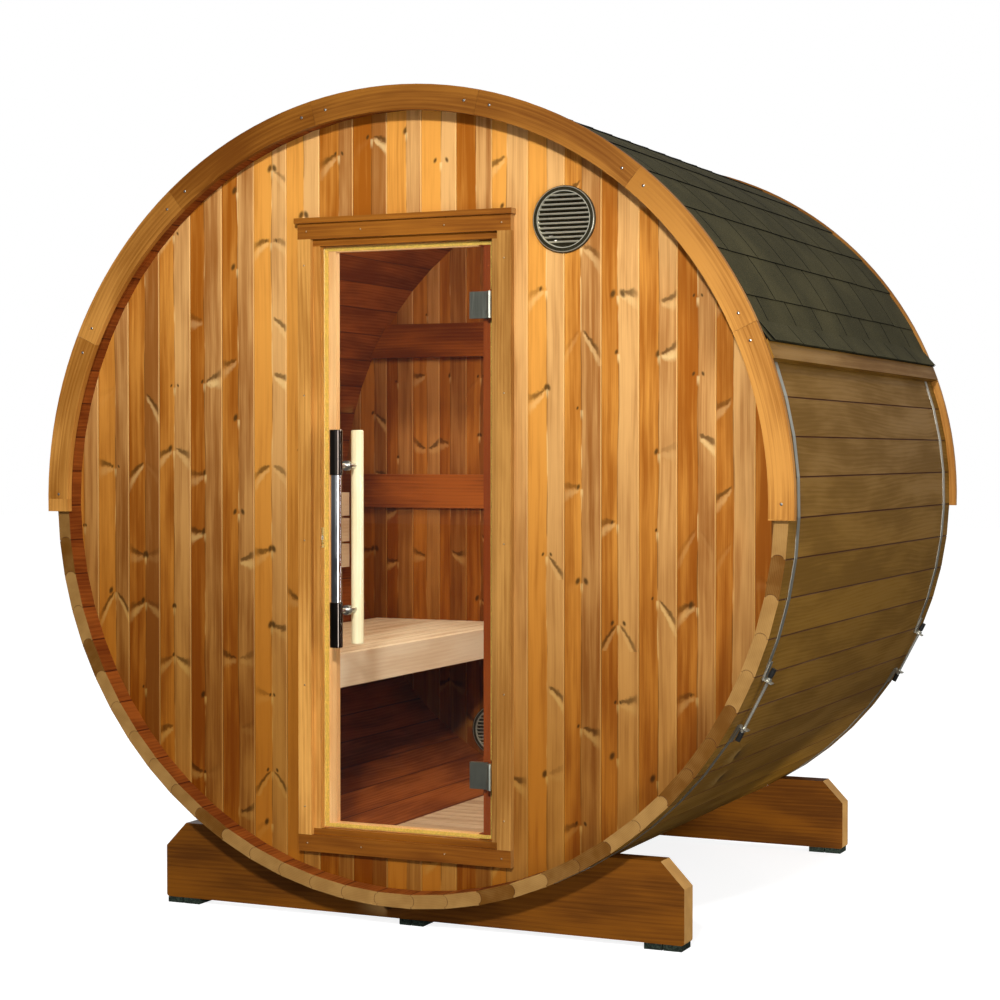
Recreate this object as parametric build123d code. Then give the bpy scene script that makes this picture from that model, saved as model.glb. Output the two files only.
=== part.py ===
from build123d import *
import os
from math import asin, atan2, cos, degrees, hypot, radians, sin, sqrt, tan

# Barrel sauna: bead-and-cove staves hooped round two plank walls, lying on two cradles.
# Millimetres. +Z is up, +X to the right, and +Y runs from the door end to the rear.
# The origin is on the floor, under the middle of the barrel.

# Barrel
stave_count = 67
stave_thickness = 36.0
stave_edge_chamfer = 1.5
stave_gap = 0.3
bead_width = 28.0
bead_height = 9.0
barrel_apothem = 1040.0
barrel_length = 1696.0
barrel_rise = 62.86
lowest_stave_angle = -90.3
stave_groups = ("staves_bottom", "staves_lower_right", "staves_upper_right",
                "staves_top", "staves_upper_left", "staves_lower_left")

# Plank walls, let into a groove in the staves
wall_recess = 58.0
wall_thickness = 38.0
croze_depth = 8.0
seat_gap = 0.3

# Doorway and its frame
doorway_half_width = 268.0
doorway_rise = 60.0
doorway_height = 1562.5
jamb_width = 21.0
head_height = 18.0
rail_height = 16.0
frame_proud = 5.0
frame_inside = 4.0
stop_width = 34.0
stop_height = 15.0
gasket_width = 10.0
gasket_thickness = 3.0
gasket_inset = 2.5

# Face boards round the doorway
casing_thickness = 20.0
casing_width = 38.0
lintel_height = 41.0
sill_board_height = 44.0
drip_cap_height = 14.0
drip_cap_reach = 10.0
drip_cap_overhang = 6.0

# Glass door, hinged on the right and opening outwards
leaf_gap = 5.6
glass_thickness = 8.0
glass_set_back = 10.0
stop_gap = 8.5
pull_inset = 66.0
pull_offset = 56.0
pull_rise = 499.0
pull_length = 565.0
pull_tube_radius = 14.5
pull_tube_wall = 1.5
pull_sleeve_radius = 17.0
pull_sleeve_length = 118.0
pull_sleeve_chamfer = 1.5
grip_radius = 16.5
grip_chamfer = 2.5
standoff_inset = 93.5
standoff_radius = 7.0
standoff_washer_radius = 13.0
standoff_washer_thickness = 3.0
glass_bolt_radius = 5.0

# Hinges
hinge_end_distance = 160.0
hinge_height = 68.0
hinge_plate_width = 48.0
hinge_plate_thickness = 3.0
knuckle_radius = 6.0
knuckle_height = 34.0
knuckle_gap = 0.5
hinge_pin_radius = 3.0
hinge_pin_clearance = 0.06
hinge_leaf_thickness = 2.5

# Roller catch in the left jamb
catch_height = 54.0
catch_width = 12.0
catch_depth = 8.0
catch_roller_radius = 4.0
catch_roller_gap = 1.0
catch_back = 1.0

# Round vents: one high in the front wall, one low in the rear wall
vent_flange_radius = 84.0
vent_grille_radius = 70.0
vent_duct_radius = 62.0
vent_duct_wall = 3.0
vent_flange_thickness = 10.0
vent_edge_chamfer = 3.0
vent_louvre_count = 11
vent_louvre_thickness = 2.0
vent_louvre_depth = 8.0
vent_louvre_tilt = 40.0
front_vent_angle = 57.87
front_vent_inset = 84.9
rear_vent_angle = 240.9
rear_vent_inset = 14.6

# Ledger battens across the inside of the rear wall
ledger_height = 112.0
ledger_thickness = 22.0
ledger_rises = (502.0, -1.0)

# Bent face boards over both ends
barge_inner_lap = 8.5
barge_outer_lap = 20.0
barge_thickness = 17.5
barge_drop = 34.0
barge_first_joint = 24.4
barge_segment_angle = 26.15
barge_joint_gap = 0.6

# Steel bands and their tensioners
band_inset = 68.0
band_width = 22.0
band_thickness = 1.5
tensioner_angle = -27.3
tensioner_span = 128.0
bracket_leg_length = 46.0
bracket_flange_height = 25.0
bracket_thickness = 3.0
rod_radius = 4.0
rod_stand_off = 11.5
rod_tail = 12.0
nut_width = 13.0
nut_height = 6.5
cap_radius = 6.5
cap_length = 24.0
cap_cover = 9.0

# Eave battens and shingle courses
eave_batten_angle = 20.55
eave_batten_width = 48.0
eave_batten_thickness = 20.0
shingle_thickness = 3.5
shingle_first_angle = 28.9
shingle_course_angle = 7.3
shingle_lap_angle = 2.0
shingle_course_count = 8
shingle_overhang = 6.0
shingle_flare_angle = 25.9
ridge_cap_half_angle = 6.5
shingle_end_gap = 0.5

# Cradles and rubber feet
cradle_band_gap = 1.0
cradle_thickness = 62.5
cradle_half_length = 750.0
cradle_top_half_length = 688.0
cradle_end_height = 140.0
cradle_top_height = 205.0
cradle_corner_radius = 8.0
foot_height = 15.0
foot_proud = 2.0
end_pad_length = 48.0
middle_pad_length = 33.0
pad_gap = 3.0
end_pad_inset = 6.0

# Bench, backrest and duckboard
bench_rise = 506.0
bench_door_offset = 77.0
bench_slat_width = 50.0
bench_slat_thickness = 25.0
bench_slat_gap = 7.0
fascia_thickness = 28.0
fascia_height = 92.0
bearer_height = 60.0
bearer_width = 45.0
bearer_wall_gap = 4.0
backrest_count = 3
backrest_slat_width = 78.0
backrest_slat_gap = 8.0
backrest_slat_thickness = 22.0
backrest_rise = 176.0
backrest_rib_least = 3.5
backrest_end_gap = 86.0
backrest_rib_width = 40.0
backrest_rib_count = 3
duckboard_half_width = 290.0
duckboard_rise = 66.0
duckboard_slat_width = 48.0
duckboard_slat_gap = 8.0
duckboard_slat_thickness = 20.0
duckboard_runner_x = 200.0
duckboard_runner_width = 40.0
duckboard_end_gap = 4.0

# How far a cutter runs past what it cuts
cut_margin = 1.0

# Lines that several pieces share
front = -barrel_length / 2
pitch = 360.0 / stave_count
inner_apothem = barrel_apothem - stave_thickness
outer_corner_radius = barrel_apothem / cos(radians(pitch / 2))
axis_height = barrel_rise + outer_corner_radius
wall_front = front + wall_recess
wall_back = wall_front + wall_thickness
wall_radius = inner_apothem + croze_depth - seat_gap
lining_radius = inner_apothem - seat_gap
duckboard_top = axis_height - inner_apothem + duckboard_rise
duckboard_bottom = duckboard_top - duckboard_slat_thickness
doorway_bottom = duckboard_top + doorway_rise
doorway_top = doorway_bottom + doorway_height
frame_front = wall_front - frame_proud
frame_back = wall_back + frame_inside
frame_half_width = doorway_half_width - jamb_width
frame_bottom = doorway_bottom + rail_height
frame_top = doorway_top - head_height
casing_front = wall_front - casing_thickness
glass_front = frame_front + glass_set_back
glass_back = glass_front + glass_thickness
leaf_half_width = frame_half_width - leaf_gap
leaf_bottom = frame_bottom + leaf_gap
leaf_top = frame_top - leaf_gap
stop_front = glass_back + stop_gap
pull_x = pull_inset - leaf_half_width
pull_bottom = doorway_bottom + pull_rise
pull_top = pull_bottom + pull_length
standoff_heights = (pull_bottom + standoff_inset, pull_top - standoff_inset)
catch_middle = (pull_bottom + pull_top) / 2
hinge_x = leaf_half_width
hinge_y = frame_front - 0.75 * knuckle_radius
hinge_middles = (leaf_bottom + hinge_end_distance, leaf_top - hinge_end_distance)
hinge_notch = hinge_height / 2 + leaf_gap
band_front = front + band_inset
band_outer_apothem = barrel_apothem + seat_gap + band_thickness
roof_radius = band_outer_apothem / cos(radians(pitch / 2)) + seat_gap
cradle_front = band_front + band_width + cradle_band_gap
barge_inner_radius = inner_apothem - barge_inner_lap
barge_outer_radius = barrel_apothem + barge_outer_lap
bench_top = duckboard_top + bench_rise
bench_front = -doorway_half_width - bench_door_offset
backrest_bottom = bench_top + backrest_rise
backrest_back = backrest_rib_least - sqrt(
    lining_radius ** 2 - (axis_height - backrest_bottom) ** 2)


def slab(x0, x1, y0, y1, z0, z1):
    """A box between two corners."""
    return Pos((x0 + x1) / 2, (y0 + y1) / 2, (z0 + z1) / 2) * Box(x1 - x0, y1 - y0, z1 - z0)


def along_y(face, y0, y1):
    """Extrude a face drawn in (x, z) from y0 to y1."""
    return extrude(Plane.XZ.offset(-y1) * face, amount=y1 - y0)


def rod_y(x, z, radius, y0, y1):
    """A round bar along Y."""
    return along_y(Pos(x, z) * Circle(radius), y0, y1)


def post(x, y, radius, z0, z1):
    """A round bar along Z."""
    return Pos(x, y, (z0 + z1) / 2) * Cylinder(radius, z1 - z0)


def polygon(points):
    """A flat face through the given points, in their own order."""
    return make_face(Polyline(*points, close=True))


def polar(radius, angle):
    """A point in the (x, z) plane, measured from the barrel's axis."""
    return (radius * cos(radians(angle)), radius * sin(radians(angle)))


def on_axis(shape):
    """Lift a shape drawn about the origin up to the barrel's axis."""
    return Pos(0, 0, axis_height) * shape


def turned(shape, angle):
    """Turn a shape drawn at angle 0 about the barrel's axis."""
    return Rot(0, -angle, 0) * shape


def to_rear(shape):
    """The same piece at the rear end of the barrel."""
    return mirror(shape, about=Plane.XZ)


def both_ends(shape):
    return [shape, to_rear(shape)]


def left_and_right(shape):
    return [shape, mirror(shape, about=Plane.YZ)]


def disc_strip(radius, x0, x1, z0, z1):
    """The part of a round wall between two upright and two level lines, as an (x, z) face."""
    disc = Pos(0, axis_height) * Circle(radius)
    return disc & (Pos((x0 + x1) / 2, (z0 + z1) / 2) * Rectangle(x1 - x0, z1 - z0))


# Staves

def bead_circle(side, pointing, clearance):
    """The circle of a bead that crosses the joint on one side of a stave, square to the joint."""
    radius = (bead_width ** 2 / 4 + bead_height ** 2) / (2 * bead_height)
    middle = (barrel_apothem + inner_apothem) / 2
    half_pitch = radians(pitch / 2)
    shift = pointing * (radius - bead_height)
    return Pos(middle + side * shift * sin(half_pitch),
               side * middle * tan(half_pitch) - shift * cos(half_pitch)) * Circle(
                   radius + clearance)


def stave(low_bead, high_bead):
    """One stave at angle 0, with a bead or a cove on each long edge."""
    slope = tan(radians(pitch / 2))
    inset = stave_gap / 2
    inner_half = inner_apothem * slope - inset
    outer_half = barrel_apothem * slope - inset
    chamfer = stave_edge_chamfer
    shoulder = outer_half - chamfer * slope
    half = [(inner_apothem, inner_half), (barrel_apothem - chamfer, shoulder),
            (barrel_apothem, outer_half - chamfer)]
    other_half = [(x, -z) for x, z in reversed(half)]
    face = polygon(half + other_half)
    for side, bead in ((-1, low_bead), (1, high_bead)):
        if bead:
            face = face + bead_circle(side, side, 0)
        else:
            face = face - bead_circle(side, -side, stave_gap)
    body = along_y(face, front, -front)
    reach = outer_half + bead_height + cut_margin
    groove = slab(inner_apothem - cut_margin, inner_apothem + croze_depth,
                  wall_front - seat_gap, wall_back + seat_gap, -reach, reach)
    for cut in both_ends(groove):
        body = body - cut
    return body


def staves():
    """All staves, from the lowest one up both sides, each bead pointing upwards."""
    closing = (stave_count + 1) // 2
    kinds = {
        "lowest": stave(True, True),
        "right": stave(False, True),
        "closing": stave(False, False),
        "left": stave(True, False),
    }
    placed = []
    for index in range(stave_count):
        kind = "right" if index < closing else "left"
        if index == 0:
            kind = "lowest"
        if index == closing:
            kind = "closing"
        placed.append(on_axis(turned(kinds[kind], lowest_stave_angle + index * pitch)))
    return placed


def stave_nodes():
    """The staves shared out among the groups, the first group centred on the bottom."""
    placed = staves()
    share = stave_count / len(stave_groups)
    nodes = {}
    for group, name in enumerate(stave_groups):
        first = round((group - 0.5) * share)
        last = round((group + 0.5) * share)
        nodes[name] = [placed[index % stave_count] for index in range(first, last)]
    return nodes


# Walls

def vent_place(angle, inset):
    """Where a vent's middle lies in the (x, z) plane, its flange held in from the staves."""
    x, rise = polar(lining_radius - inset - vent_flange_radius, angle)
    return Pos(x, axis_height + rise)


def front_wall():
    """The front wall, parted at the doorway."""
    reach = wall_radius + cut_margin
    low = axis_height - reach
    high = axis_height + reach
    half = doorway_half_width
    pieces = {
        "front_wall_left": disc_strip(wall_radius, -reach, -half, low, high),
        "front_wall_right": disc_strip(wall_radius, half, reach, low, high),
        "front_wall_over_door": disc_strip(wall_radius, -half, half, doorway_top, high),
        "front_wall_under_door": disc_strip(wall_radius, -half, half, low, doorway_bottom),
    }
    hole = vent_place(front_vent_angle, front_vent_inset) * Circle(vent_duct_radius + seat_gap)
    pieces["front_wall_right"] = pieces["front_wall_right"] - hole
    return {name: along_y(face, wall_front, wall_back) for name, face in pieces.items()}


def rear_wall():
    disc = Pos(0, axis_height) * Circle(wall_radius)
    hole = vent_place(rear_vent_angle, rear_vent_inset) * Circle(vent_duct_radius + seat_gap)
    return along_y(disc - hole, -wall_back, -wall_front)


def rear_ledgers():
    """Two level battens across the rear wall, their ends cut to the curve of the barrel."""
    reach = lining_radius + cut_margin
    return [along_y(disc_strip(lining_radius, -reach, reach,
                               axis_height + rise - ledger_height / 2,
                               axis_height + rise + ledger_height / 2),
                    -wall_back - ledger_thickness, -wall_back)
            for rise in ledger_rises]


# Door frame

def door_frame():
    """Jambs, head and bottom rail, with a mortise for the catch in the left jamb."""
    jamb = slab(frame_half_width, doorway_half_width, frame_front, frame_back,
                frame_bottom, frame_top)
    mortise = slab(-frame_half_width - catch_depth - seat_gap, -frame_half_width + cut_margin,
                   frame_front + catch_width / 2 - seat_gap,
                   frame_front + catch_width * 1.5 + seat_gap,
                   catch_middle - catch_height / 2 - seat_gap,
                   catch_middle + catch_height / 2 + seat_gap)
    right, left = left_and_right(jamb)
    return {
        "door_jambs": [left - mortise, right],
        "door_head": slab(-doorway_half_width, doorway_half_width, frame_front, frame_back,
                          frame_top, doorway_top),
        "door_bottom_rail": slab(-doorway_half_width, doorway_half_width, frame_front,
                                 frame_back, doorway_bottom, frame_bottom),
    }


def door_stops():
    """Strips behind the leaf, all round."""
    inner = frame_half_width - stop_width
    side = slab(inner, frame_half_width, stop_front, frame_back, frame_bottom, frame_top)
    low = slab(-inner, inner, stop_front, frame_back, frame_bottom, frame_bottom + stop_height)
    high = slab(-inner, inner, stop_front, frame_back, frame_top - stop_height, frame_top)
    return {"door_side_stops": left_and_right(side), "door_cross_stops": [low, high]}


def door_gasket():
    """A flat seal on the stops, cut away behind each hinge."""
    width = frame_half_width - gasket_inset
    low = frame_bottom + gasket_inset
    high = frame_top - gasket_inset
    y0 = stop_front - gasket_thickness
    ring = slab(-width, width, y0, stop_front, low, high)
    inside = width - gasket_width
    ring = ring - slab(-inside, inside, y0 - cut_margin, stop_front + cut_margin,
                       low + gasket_width, high - gasket_width)
    for middle in hinge_middles:
        ring = ring - slab(inside - cut_margin, width + cut_margin,
                           y0 - cut_margin, stop_front + cut_margin,
                           middle - hinge_notch, middle + hinge_notch)
    return ring


def face_boards():
    """Casings, lintel, board under the door and drip cap, on the wall's outer face."""
    reach = doorway_half_width + casing_width
    casing = slab(doorway_half_width, reach, casing_front, wall_front,
                  doorway_bottom, doorway_top)
    lintel_top = doorway_top + lintel_height
    cap_reach = reach + drip_cap_overhang
    return {
        "door_casings": left_and_right(casing),
        "door_lintel": slab(-reach, reach, casing_front, wall_front, doorway_top, lintel_top),
        "door_sill_board": slab(-reach, reach, casing_front, wall_front,
                                doorway_bottom - sill_board_height, doorway_bottom),
        "drip_cap": slab(-cap_reach, cap_reach, casing_front - drip_cap_reach, wall_front,
                         lintel_top, lintel_top + drip_cap_height),
    }


def roller_catch():
    """A plate let into the left jamb, with a roller standing in its window."""
    face_x = -frame_half_width
    y0 = frame_front + catch_width / 2
    y1 = y0 + catch_width
    y_mid = (y0 + y1) / 2
    body = slab(face_x - catch_depth, face_x, y0, y1,
                catch_middle - catch_height / 2, catch_middle + catch_height / 2)
    window = catch_roller_radius + catch_roller_gap
    pocket = slab(face_x - catch_depth + catch_back, face_x + cut_margin,
                  y_mid - window, y_mid + window,
                  catch_middle - window, catch_middle + window)
    roller = post(face_x - catch_roller_radius, y_mid, catch_roller_radius,
                  catch_middle - window, catch_middle + window)
    return (body - pocket) + roller


# Glass door

def door_glass():
    glass = slab(-leaf_half_width, leaf_half_width, glass_front, glass_back,
                 leaf_bottom, leaf_top)
    for z in standoff_heights:
        glass = glass - rod_y(pull_x, z, glass_bolt_radius + seat_gap,
                              glass_front - cut_margin, glass_back + cut_margin)
    return glass


def door_pull():
    """The outer pull: a polished tube with a wider sleeve on each end."""
    y = glass_front - pull_offset
    tube = post(pull_x, y, pull_tube_radius, pull_bottom, pull_top)
    sleeve = post(pull_x, y, pull_sleeve_radius, pull_bottom, pull_bottom + pull_sleeve_length)
    sleeve = chamfer(sleeve.edges().filter_by(GeomType.CIRCLE), pull_sleeve_chamfer)
    upper = Pos(0, 0, pull_top - pull_bottom - pull_sleeve_length) * sleeve
    hollow = post(pull_x, y, pull_tube_radius - pull_tube_wall,
                  pull_bottom + pull_tube_wall, pull_top - pull_tube_wall)
    return (tube + sleeve + upper) - hollow


def door_grip():
    """The inner grip: a round wooden bar."""
    bar = post(pull_x, glass_back + pull_offset, grip_radius, pull_bottom, pull_top)
    return chamfer(bar.edges().filter_by(GeomType.CIRCLE), grip_chamfer)


def pull_standoffs():
    """Spacers from the pull through the glass to the grip, with a washer on each side."""
    pull_side = glass_front - pull_offset + pull_sleeve_radius
    grip_side = glass_back + pull_offset - grip_radius
    pieces = []
    for z in standoff_heights:
        outer = rod_y(pull_x, z, standoff_radius, pull_side, glass_front)
        outer_washer = rod_y(pull_x, z, standoff_washer_radius,
                             glass_front - standoff_washer_thickness, glass_front)
        bolt = rod_y(pull_x, z, glass_bolt_radius, glass_front, glass_back)
        inner_washer = rod_y(pull_x, z, standoff_washer_radius,
                             glass_back, glass_back + standoff_washer_thickness)
        inner = rod_y(pull_x, z, standoff_radius, glass_back, grip_side)
        pieces.append(outer + outer_washer + bolt + inner_washer + inner)
    return pieces


# Hinges

def hinge_clamp(middle):
    """Two plates that grip the glass, with the knuckle that turns on the pin."""
    low = middle - hinge_height / 2
    high = middle + hinge_height / 2
    plate_edge = hinge_x - 2 * knuckle_radius
    plate_start = plate_edge - hinge_plate_width
    outer = slab(plate_start, plate_edge, glass_front - hinge_plate_thickness, glass_front,
                 low, high)
    inner = slab(plate_start, plate_edge, glass_back, glass_back + hinge_plate_thickness,
                 low, high)
    knuckle = post(hinge_x, hinge_y, knuckle_radius,
                   middle - knuckle_height / 2, middle + knuckle_height / 2)
    arm = slab(plate_edge - cut_margin, hinge_x, hinge_y + knuckle_radius / 2, glass_front,
               middle - knuckle_height / 2, middle + knuckle_height / 2)
    bore = post(hinge_x, hinge_y, hinge_pin_radius + hinge_pin_clearance, low, high)
    return [(outer + arm + knuckle) - bore, inner]


def hinge_leaf(middle):
    """The fixed half: a leaf on the jamb, two knuckles and the pin."""
    pin = post(hinge_x, hinge_y, hinge_pin_radius,
               middle - hinge_height / 2, middle + hinge_height / 2)
    start = knuckle_height / 2 + knuckle_gap
    body = pin
    for z0, z1 in ((middle - hinge_height / 2, middle - start),
                   (middle + start, middle + hinge_height / 2)):
        body = body + post(hinge_x, hinge_y, knuckle_radius, z0, z1)
        body = body + slab(hinge_x, frame_half_width, hinge_y - knuckle_radius / 2,
                           frame_front + knuckle_radius / 2, z0, z1)
    leaf = slab(frame_half_width - hinge_leaf_thickness, frame_half_width,
                frame_front, frame_front + knuckle_radius / 2,
                middle - hinge_height / 2, middle + hinge_height / 2)
    clear = post(hinge_x, hinge_y, knuckle_radius + knuckle_gap,
                 middle - start, middle + start)
    return body + (leaf - clear)


# Vents

def vent_grille(y_face, outward):
    """A flange with sloping louvres, flat against the wall at y_face."""
    y_out = y_face + outward * vent_flange_thickness
    y0, y1 = sorted((y_face, y_out))
    flange = along_y(Circle(vent_flange_radius), y0, y1)
    rims = flange.edges().filter_by(GeomType.CIRCLE).sort_by(Axis.Y)
    flange = chamfer(rims[-1] if outward > 0 else rims[0], vent_edge_chamfer)
    grille = flange - along_y(Circle(vent_grille_radius), y0 - cut_margin, y1 + cut_margin)
    louvre_pitch = 2 * vent_grille_radius / (vent_louvre_count + 1)
    depth = vent_louvre_depth / cos(radians(vent_louvre_tilt))
    for index in range(vent_louvre_count):
        z = (index + 1) * louvre_pitch - vent_grille_radius
        half = sqrt(vent_grille_radius ** 2 - z ** 2) + vent_louvre_thickness
        blade = Box(2 * half, depth, vent_louvre_thickness)
        tilt = outward * vent_louvre_tilt
        grille = grille + Pos(0, (y0 + y1) / 2, z) * Rot(tilt, 0, 0) * blade
    return grille


def vent():
    """A duct through the wall with a grille on each face, about the origin."""
    outer = vent_grille(wall_front, -1)
    inner = vent_grille(wall_back, 1)
    duct = along_y(Circle(vent_duct_radius) - Circle(vent_duct_radius - vent_duct_wall),
                   wall_front, wall_back)
    ring = Circle(vent_flange_radius - vent_edge_chamfer) - Circle(
        vent_duct_radius - vent_duct_wall)
    outer_web = along_y(ring, wall_front - vent_duct_wall / 2, wall_front)
    inner_web = along_y(ring, wall_back, wall_back + vent_duct_wall / 2)
    return outer + outer_web + duct + inner_web + inner


def vents():
    unit = vent()
    placed = []
    for piece, angle, inset in ((unit, front_vent_angle, front_vent_inset),
                                (to_rear(unit), rear_vent_angle, rear_vent_inset)):
        middle = vent_place(angle, inset).position
        placed.append(Pos(middle.X, 0, middle.Y) * piece)
    return placed


# Bent face boards

def barge_boards():
    """Seven mitred boards over the end grain, cut level a little below the axis."""
    ring = Circle(barge_outer_radius) - Circle(barge_inner_radius)
    reach = barge_outer_radius + cut_margin
    boards = []
    start = barge_first_joint - barge_segment_angle
    count = round((180 - 2 * start) / barge_segment_angle)
    for index in range(count):
        low = start + index * barge_segment_angle
        high = low + barge_segment_angle
        if index == 0:
            low = low - barge_segment_angle / 2
        if index == count - 1:
            high = high + barge_segment_angle / 2
        trim = degrees(barge_joint_gap / 2 / barge_outer_radius)
        wedge = polygon([(0, 0), polar(2 * reach, low + trim), polar(2 * reach, high - trim)])
        keep = Pos(0, reach - barge_drop) * Rectangle(2 * reach, 2 * reach)
        board = along_y((ring & wedge) & keep, front - barge_thickness, front)
        boards.append(on_axis(board))
    return boards


# Bands and tensioners

def stave_polygon(apothem):
    """The outline of the hooped staves, pushed out to a given apothem."""
    radius = apothem / cos(radians(pitch / 2))
    return polygon([polar(radius, lowest_stave_angle + (index + 0.5) * pitch)
                    for index in range(stave_count)])


def band():
    """A flat strap bent over the stave corners, open between the tensioner's brackets."""
    strap = stave_polygon(band_outer_apothem) - stave_polygon(band_outer_apothem - band_thickness)
    half = degrees(asin(tensioner_span / 2 / barrel_apothem))
    reach = 2 * barrel_apothem
    opening = polygon([(0, 0), polar(reach, tensioner_angle - half),
                       polar(reach, tensioner_angle + half)])
    return on_axis(along_y(strap - opening, band_front, band_front + band_width))


def bracket(direction):
    """One L bracket at angle 0: a leg on the strap and a flange that takes the rod."""
    half_span = tensioner_span / 2
    surface = band_outer_apothem / cos(radians(pitch / 2)) + seat_gap
    leg_angle = degrees((half_span + bracket_leg_length / 2) / surface)
    y_mid = band_front + band_width / 2
    leg = Pos(surface + bracket_thickness / 2, y_mid, 0) * Box(
        bracket_thickness, band_width, bracket_leg_length + bracket_thickness)
    leg = turned(leg, direction * leg_angle)
    tilt = radians(leg_angle)
    corner = (surface - half_span * sin(tilt)) / cos(tilt)
    z = direction * (half_span + bracket_thickness / 2)
    flange = Pos(corner + bracket_flange_height / 2, y_mid, z) * Box(
        bracket_flange_height, band_width, bracket_thickness)
    return leg + flange


def tensioner():
    """Two brackets drawn together by a threaded rod and nuts."""
    y_mid = band_front + band_width / 2
    rod_x = band_outer_apothem + rod_stand_off
    end = tensioner_span / 2 + bracket_thickness + nut_height + rod_tail
    body = Pos(rod_x, y_mid, 0) * Cylinder(rod_radius, 2 * end)
    for direction in (-1, 1):
        body = body + bracket(direction)
        nut = extrude(RegularPolygon(nut_width / 2, 6, major_radius=False), amount=nut_height / 2,
                      both=True)
        z = direction * (tensioner_span / 2 + bracket_thickness + nut_height / 2)
        body = body + Pos(rod_x, y_mid, z) * nut
    return on_axis(turned(body, tensioner_angle))


def tensioner_caps():
    """Plastic caps pushed over the ends of the rod."""
    y_mid = band_front + band_width / 2
    rod_x = band_outer_apothem + rod_stand_off
    end = tensioner_span / 2 + bracket_thickness + nut_height + rod_tail
    caps = []
    for direction in (-1, 1):
        start = end - cap_cover
        z = direction * (start + cap_length / 2)
        cap = Pos(rod_x, y_mid, z) * Cylinder(cap_radius, cap_length)
        cap = cap - Pos(rod_x, y_mid, 0) * Cylinder(rod_radius + seat_gap / 2, 2 * end + seat_gap)
        caps.append(on_axis(turned(cap, tensioner_angle)))
    return caps


# Roof

def course_face(start, stop, start_lift, stop_lift):
    """A shingle course that leans from start_lift down to stop_lift, as an (x, z) face."""
    steps = 4
    inner = []
    outer = []
    for step in range(steps + 1):
        share = step / steps
        angle = start + share * (stop - start)
        radius = roof_radius + start_lift + share * (stop_lift - start_lift)
        inner.append(polar(radius, angle))
        outer.append(polar(radius + shingle_thickness, angle))
    return polygon(inner + list(reversed(outer)))


def eave_course_face():
    """The lowest course, which kicks out over the eave batten."""
    half = eave_batten_width / 2
    corner_x = roof_radius + eave_batten_thickness
    corner_angle = eave_batten_angle + degrees(atan2(half, corner_x))
    corner_radius = hypot(half, corner_x) + seat_gap
    rise = (corner_radius - roof_radius) / (shingle_flare_angle - corner_angle)
    drop_angle = degrees(shingle_overhang / corner_radius)
    edge_angle = corner_angle - drop_angle
    edge_radius = corner_radius + rise * drop_angle
    stop = shingle_first_angle + shingle_lap_angle
    inner = [polar(edge_radius, edge_angle), polar(roof_radius, shingle_flare_angle),
             polar(roof_radius, (shingle_flare_angle + stop) / 2), polar(roof_radius, stop)]
    outer = [polar(edge_radius + shingle_thickness, edge_angle),
             polar(roof_radius + shingle_thickness, shingle_flare_angle),
             polar(roof_radius + shingle_thickness, (shingle_flare_angle + stop) / 2),
             polar(roof_radius + shingle_thickness, stop)]
    return polygon(inner + list(reversed(outer)))


def roof_shingles():
    """Lapped courses up both sides and a cap over the ridge."""
    lap_lift = shingle_thickness + seat_gap
    faces = [eave_course_face()]
    for index in range(shingle_course_count):
        start = shingle_first_angle + index * shingle_course_angle
        stop = start + shingle_course_angle + shingle_lap_angle
        stop = min(stop, 90 - shingle_lap_angle / 4)
        faces.append(course_face(start, stop, lap_lift, 0))
    y0 = front + shingle_end_gap
    courses = []
    for face in faces:
        course = along_y(face, y0, -y0)
        courses.extend(left_and_right(course))
    cap = course_face(90 - ridge_cap_half_angle, 90 + ridge_cap_half_angle, lap_lift, lap_lift)
    courses.append(along_y(cap, y0, -y0))
    return [on_axis(course) for course in courses]


def eave_battens():
    """A batten along each side, under the edge of the shingles."""
    x = roof_radius + eave_batten_thickness / 2
    batten = Pos(x, 0, 0) * Box(eave_batten_thickness, barrel_length - 2 * shingle_end_gap,
                                eave_batten_width)
    return left_and_right(on_axis(turned(batten, eave_batten_angle)))


# Cradles and feet

def cradle():
    """A sawn timber with chamfered ends and a saddle for the barrel."""
    half = cradle_half_length
    top_half = cradle_top_half_length
    outline = polygon([(-half, foot_height), (half, foot_height),
                       (half, foot_height + cradle_end_height),
                       (top_half, foot_height + cradle_top_height),
                       (-top_half, foot_height + cradle_top_height),
                       (-half, foot_height + cradle_end_height)])
    lower = outline.vertices().sort_by(Axis.Y)[:2]
    outline = fillet(lower, cradle_corner_radius)
    saddle = Pos(0, axis_height) * Circle(outer_corner_radius + seat_gap)
    return along_y(outline - saddle, cradle_front, cradle_front + cradle_thickness)


def feet():
    """Pairs of rubber pads under the ends and the middle of a cradle."""
    y0 = cradle_front - foot_proud
    y1 = cradle_front + cradle_thickness + foot_proud
    spans = []
    outer = cradle_half_length - end_pad_inset
    for index in range(2):
        stop = outer - index * (end_pad_length + pad_gap)
        spans.append((stop - end_pad_length, stop))
    spans.append((pad_gap / 2, pad_gap / 2 + middle_pad_length))
    pads = []
    for x0, x1 in spans:
        pads.extend(left_and_right(slab(x0, x1, y0, y1, 0, foot_height)))
    return pads


# Bench, backrest and duckboard

def bench_slats():
    """Lengthwise slats between the two walls, behind the fascia."""
    slats = []
    x = bench_front - fascia_thickness - bench_slat_gap
    low = bench_top - bench_slat_thickness
    reach = sqrt(lining_radius ** 2 - (axis_height - low) ** 2)
    count = int((reach + x + bench_slat_gap) // (bench_slat_width + bench_slat_gap))
    for index in range(count):
        slats.append(slab(x - bench_slat_width, x, wall_back, -wall_back, low, bench_top))
        x = x - bench_slat_width - bench_slat_gap
    return slats


def bench_fascia():
    return slab(bench_front - fascia_thickness, bench_front, frame_back, -wall_back,
                bench_top - fascia_height, bench_top)


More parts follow.
